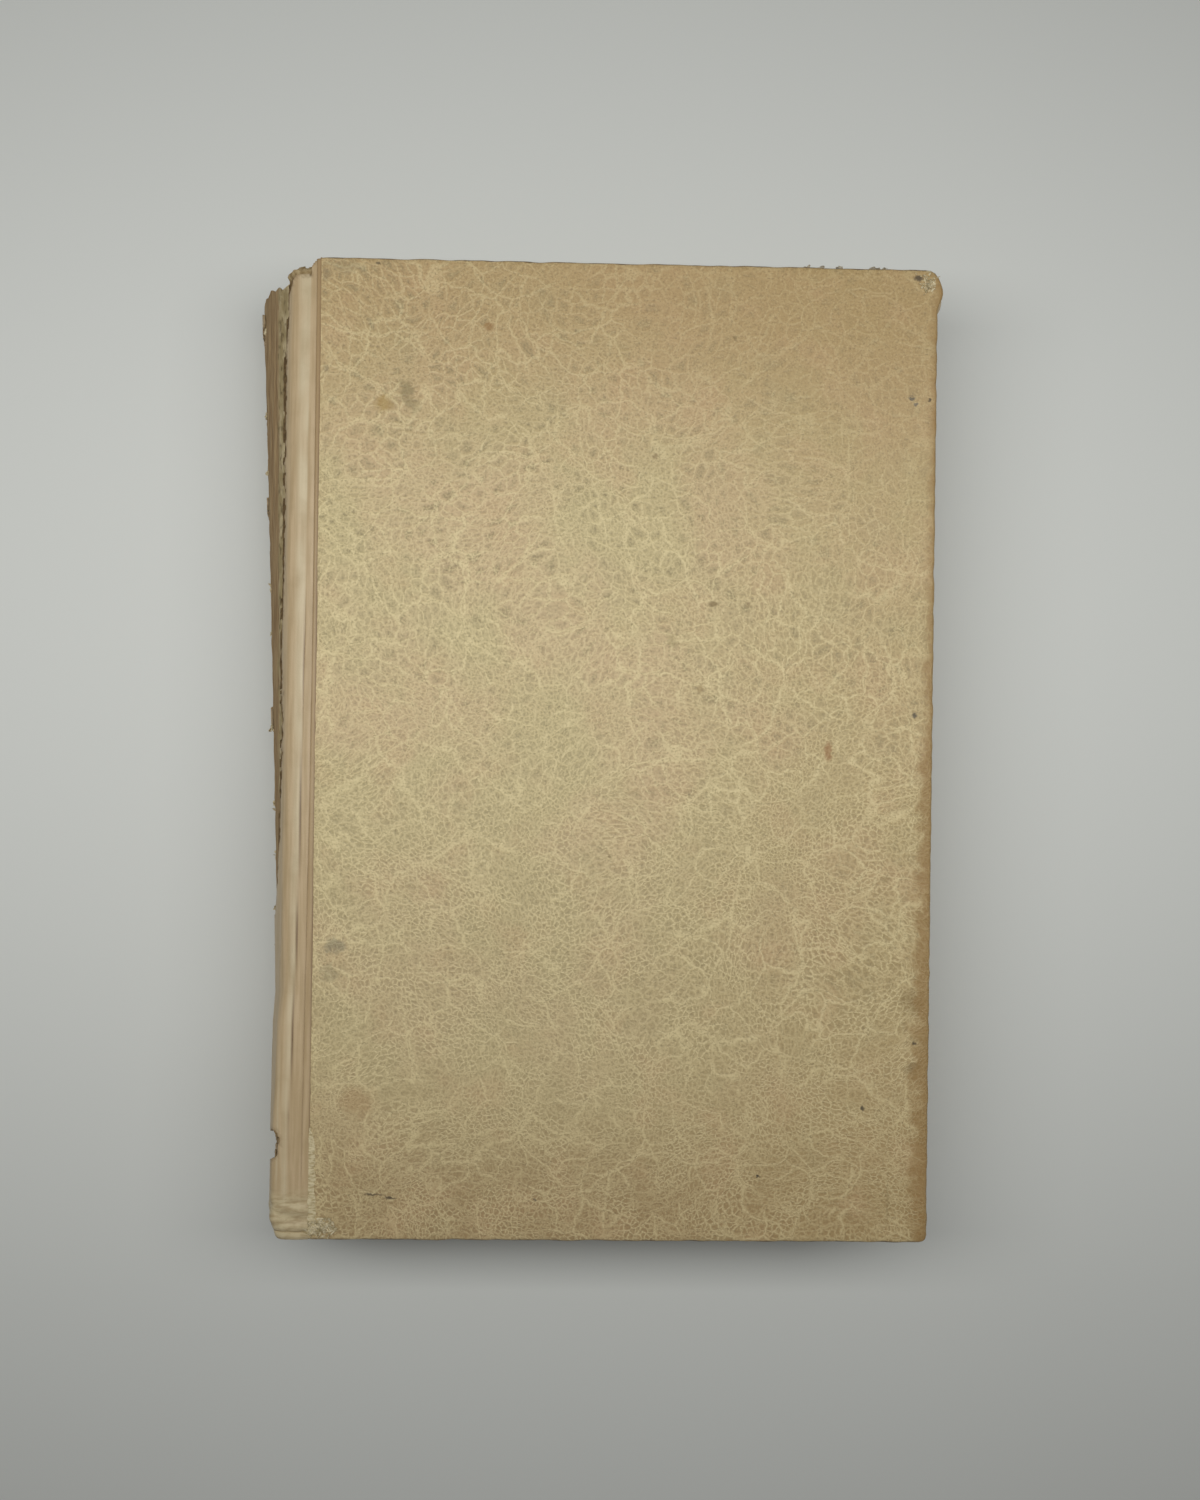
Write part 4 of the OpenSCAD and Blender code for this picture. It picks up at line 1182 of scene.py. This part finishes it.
# %% [markdown]
# ## Card inlay under the bulge
# Towards the tail the covering stands off the back over a card inlay. A notch is torn out of the
# covering there, and the card behind it is pressed in, so the outline of the book has a bite.

# %% Lay the card inlay
INLAY_ROWS, INLAY_COLUMNS, BARE_EDGE = 160, 60, 3.5
inlay_u = np.linspace(TAIL + 1.6, TAIL + 46, INLAY_ROWS + 1)
inlay_points, inlay_stops, inlay_out = lay_sections(inlay_u, 0.45, INLAY_COLUMNS, 12, 0.3)


def place_inlay(i, j):
    """Under the covering at the tail, pressed in behind the bite."""
    run, u = inlay_stops[j, i], inlay_u[j]
    bite = smooth_step(u, TAIL + 12.6, TAIL + 15) * smooth_step(u, TAIL + 22, TAIL + 19.6)
    drawn_in = np.clip((TAIL + 5 - u) / 5, 0, 1) ** 2
    sunk = 1.25 * bite * smooth_step(run, 4.5, 7) + 1.5 * drawn_in
    return inlay_points[j, i] - inlay_out[j, i] * sunk[:, None]


inlay, i, j = lay_sheet("bitten_card_inlay", INLAY_COLUMNS, INLAY_ROWS, place_inlay)
run = inlay_stops[j, i]
cut_away(inlay, (run < BARE_EDGE) | (run > inlay_stops[j, -1] - BARE_EDGE))
give_thickness(inlay, 0.5, MIDDLE_X)
finish_piece(inlay, "block", inlay_card, ["spine_inlay"])

# %% [markdown]
# ## Pages
# The pages could be a smooth block with painted lines. Here they are a stack of thin steps, each
# a little out of line with the next, because that is what makes a worn fore edge catch light. A
# band of grid goes round the stack once, is closed where its ends meet, and is capped.

# %% Stack the pages
LEAVES = 90
AROUND = 144
chance = np.random.default_rng(7)
# Each step slips a little by chance, and groups of steps lie out of line in slow waves.
slip = chance.normal(0, 0.05, (LEAVES, 2)) + 0.1 * np.sin(np.arange(LEAVES)[:, None] / 4.1 + [0, 2])


def place_page(i, j):
    """i counts round the stack, j up its steps: two rings for each step."""
    step = np.minimum(j // 2, LEAVES - 1)
    level = (step + (j % 2)) / LEAVES
    z = BLOCK_LOW + (BLOCK_HIGH - BLOCK_LOW) * level
    s = np.clip((BLOCK_LOW - REAR_LEAF_Z + (BLOCK_HIGH - BLOCK_LOW) * (step + 0.5) / LEAVES)
                / (BACK_TOP_Z - REAR_LEAF_Z), 0, 1)
    turn, middle = leaf_lie(s)
    part = (i % AROUND) / AROUND * 4
    along = part % 1
    sides = [part.astype(int) == k for k in range(4)]
    half_w, half_h = PAGE_W / 2, PAGE_H / 2
    x = np.select(sides, [-half_w + 2 * half_w * along, half_w, half_w - 2 * half_w * along, -half_w])
    y = np.select(sides, [-half_h, -half_h + 2 * half_h * along, half_h, half_h - 2 * half_h * along])
    rough = slip[step, 0] + 0.05 * waves(y * 0.2, step * 3.0, 9, 51)
    x = x + np.where(x > -half_w + 1, rough, 0)
    y = y + slip[step, 1]
    x, y = turned(x, y, turn, middle)
    return np.stack([x + MIDDLE_X, y, z], axis=1)


pages = lay_sheet("page_stack", AROUND, 2 * LEAVES - 1, place_page)[0]
bpy.ops.object.mode_set(mode="EDIT")
bpy.ops.mesh.select_all(action="SELECT")
bpy.ops.mesh.remove_doubles(threshold=0.001 * MM)
bpy.ops.mesh.select_all(action="DESELECT")
bpy.ops.mesh.select_non_manifold()
bpy.ops.mesh.edge_face_add()
bpy.ops.mesh.select_all(action="SELECT")
bpy.ops.mesh.normals_make_consistent(inside=False)
bpy.ops.object.mode_set(mode="OBJECT")
finish_piece(pages, "block", page_edges, ["text_block"], smooth=20)

# %% [markdown]
# ## Sound end of the joint
# For the last two centimetres at the tail the joint isn't cracked: the covering still crosses from
# the spine to the cover. It is a strip of its own. Folding has rubbed it pale, with short ridges
# square to the joint.

# %% Lay the strip across the joint
STRIP_LEFT, STRIP_W, STRIP_ACROSS = -1.3, 3.5, 30
STRIP_FOOT, STRIP_H, STRIP_ALONG = TAIL + 0.4, 22.5, 150


def place_strip(i, j):
    """Over the joint, with short ridges square to it, and tapered at its upper end."""
    x = STRIP_LEFT + STRIP_W * i / STRIP_ACROSS
    u = STRIP_FOOT + STRIP_H * j / STRIP_ALONG
    fall = np.where(x < 0, 0.33 * -x, 0)
    taper = smooth_step(u, TAIL + 23, TAIL + 19)
    ridges = 0.06 * np.clip(waves(x * 0.25, u, 0.9, 71), -0.6, 1) * hump(x, 0.6, 1.0)
    side = smooth_step(np.abs(x - 0.2), 1.7, 1.2)
    reach = 1 - 0.45 * (1 - taper) - 0.07 * (waves(u, x * 0, 3.2, 72) + 1) - 0.012 * (u - TAIL)
    drop = np.clip((TAIL + 1.6 - u) / 1.2, 0, 1) ** 2
    x = x * reach
    z = BOOK_T + 0.02 - fall + side * (0.14 + ridges) - 0.8 * drop
    return np.stack([x + MIDDLE_X, u, z], axis=1)


strip, i, j = lay_sheet("sound_joint_strip", STRIP_ACROSS, STRIP_ALONG, place_strip)
keep_value(strip, "flat", np.stack([i * 0.113, STRIP_FOOT + 0.15 * j, 0 * i], axis=1))
give_thickness(strip, 0.12)
finish_piece(strip, None, rubbed_paper)
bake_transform(strip)

# %% [markdown]
# ## Frayed corners and loose flakes
# Where the paper has broken, its fibres stand out: at the tail of the joint, at the bumped corner
# and along the head edge. One curled flake is modelled, then copied, sized and turned many times,
# and the copies of one place are joined.

# %% Model one flake and scatter its copies
def make_flake():
    """A paper flake 1 mm long: a grid pinched at its ends and curled along its length."""
    bpy.ops.object.select_all(action="DESELECT")
    bpy.ops.mesh.primitive_grid_add(x_subdivisions=2, y_subdivisions=5, size=1)
    flake = bpy.context.object
    corners = points_of(flake)
    narrow = 1 - 1.6 * corners[:, 1] ** 2
    corners[:, 0] *= narrow
    corners[:, 2] = 0.35 * corners[:, 1] ** 2 + 0.1 * corners[:, 0] ** 2
    move_points(flake, corners)
    return flake


def scatter(name, count, centre, spread, length, width, seed, lift=0.3, heading=None,
            low=-0.3, high=0.75):
    """Copies of the flake round a centre, in millimetres, joined into one piece."""
    chance = np.random.default_rng(seed)
    flake = make_flake()
    shape = points_of(flake)
    copies = [flake]
    for _ in range(count - 1):
        twin = flake.copy()
        twin.data = flake.data.copy()
        bpy.context.collection.objects.link(twin)
        copies.append(twin)
    for twin in copies:
        turn = chance.uniform(0, 2 * math.pi) if heading is None else heading + chance.normal(0, 0.5)
        tilt, roll = chance.normal(0, 0.35), chance.normal(0, 0.6)
        size = np.array([chance.uniform(*width), chance.uniform(*length), chance.uniform(0.4, 1.3)])
        local = shape * size
        y, z = local[:, 1] * math.cos(tilt), local[:, 1] * math.sin(tilt) + local[:, 2]
        x, z = local[:, 0] * math.cos(roll), z + local[:, 0] * math.sin(roll)
        place = np.array(centre) + chance.normal(0, 1, 3) * [spread[0], spread[1], 0]
        x, y = turned(x, y, turn)
        z = np.clip(z + chance.uniform(0, lift), low, high)
        move_points(twin, (np.stack([x, y, z], axis=1) + place) * MM)
    bpy.ops.object.select_all(action="DESELECT")
    for twin in copies:
        twin.select_set(True)
    bpy.context.view_layer.objects.active = flake
    bpy.ops.object.join()
    flake.name = flake.data.name = name
    modify(flake, "SOLIDIFY", thickness=0.05 * MM, offset=0)
    return flake


print("flakes can be scattered")

# %% [markdown]
# Each place gets its own number of flakes, their spread, and how long and wide they are. Those at
# the head edge all lie along it, as the torn fibres there do.

# %% Frayed corners and flecks at the head
shreds = scatter("frayed_shreds_tail", 130, (MIDDLE_X + 2.5, -97.8, BOOK_T + 0.02), (1.2, 0.8),
                 (0.6, 2.2), (0.15, 0.45), 81, 0.2, high=0.32)
finish_piece(shreds, "front_cover", torn_fibre)
corner = scatter("frayed_bumped_corner", 120, (MIDDLE_X + 125.0, 97.6, BOOK_T - 0.12), (0.75, 0.9),
                 (0.4, 1.3), (0.12, 0.4), 82, 0.22)
finish_piece(corner, "front_cover", torn_fibre)
FLECKS = [(99.5, 3, 0.3), (102.7, 3, 0.3), (106.6, 6, 0.8), (114.6, 9, 1.0)]    # place, count, spread
for k, (x, count, spread) in enumerate(FLECKS):
    flecks = scatter(f"head_flecks_{k}", count, (MIDDLE_X + x, 100.55, BOOK_T - 0.9), (spread, 0.12),
                     (0.7, 1.5), (0.4, 0.8), 90 + k, 0.3, math.pi / 2)
    finish_piece(flecks, "front_cover", grey_fleck)

# %% [markdown]
# Small chips of paper still stand out from the back along the tear. Each place is given as a height
# along the book and a place on the back, so that the chips follow the lean.

# %% Chips along the torn back
def chip_of(u, s, rise, length, seed):
    """A few flakes standing out from the back at that place."""
    x, y, z = over_back(np.float64(s), np.float64(u), np.float64(rise))
    return scatter(f"back_chip_{seed}", 4, (x + MIDDLE_X, y, z), (0.1, length / 3),
                   (0.35 * length, 0.7 * length), (0.4, 0.8), seed, 0.4, 0.0, low=-9, high=9)


# Height along the book, place on the back, rise above it, and length of the chip.
CHIPS = [(91.5, 0.5, 0.9, 1.6), (74.5, 0.45, 1.0, 1.0), (62.0, 0.45, 1.0, 1.2), (36.0, 0.5, 0.9, 2.2),
         (27.0, 0.5, 0.95, 1.4), (6.5, 0.5, 1.3, 3.0), (-10.5, 0.5, 1.0, 1.6), (-21.0, 0.5, 1.0, 1.4),
         (-32.5, 0.5, 1.1, 2.0), (-41.0, 0.5, 1.1, 1.6)]
for k, (u, s, rise, length) in enumerate(CHIPS):
    finish_piece(chip_of(u, s, rise, length, 101 + k), "block", torn_fibre)

# %% [markdown]
# ## Floor
# The floor is a sheet of pale grey paper, and not part of the book. It lies a little below the
# rear cover, which comes down to the table when it is opened. Far from the book it fades into the
# backdrop.

# %% Floor
FLOOR_Z, HAZE_FROM, HAZE_TO = -0.4, 0.24, 0.45        # millimetres, then metres from the book
paper_floor, node, shader = new_finish("grey_backing_paper", 0.9, 0.1)
shader.inputs["Base Color"].default_value = linear("#d2d4cf")
away = node("VectorMath", {0: node("TexCoord", out="Object")}, out=1, operation="LENGTH")
far_off = node("MapRange", {0: away, 1: HAZE_FROM, 2: HAZE_TO}, **SOFT)
far_off = node("Math", {0: far_off, 1: seen_as_backdrop(node)}, **TIMES)
haze = node("Emission", {"Color": (BACKDROP, BACKDROP, BACKDROP, 1), "Strength": 1.0})
merged = node("MixShader", {0: far_off, 1: shader.outputs[0], 2: haze})
paper_floor.node_tree.links.new(merged, paper_floor.node_tree.nodes["Material Output"].inputs["Surface"])
bpy.ops.object.select_all(action="DESELECT")
bpy.ops.mesh.primitive_plane_add(size=6, location=(0, 0, FLOOR_Z * MM))
floor = bpy.context.object
floor.name = "floor"
floor.data.materials.append(paper_floor)
print("floor", floor.dimensions[:2])
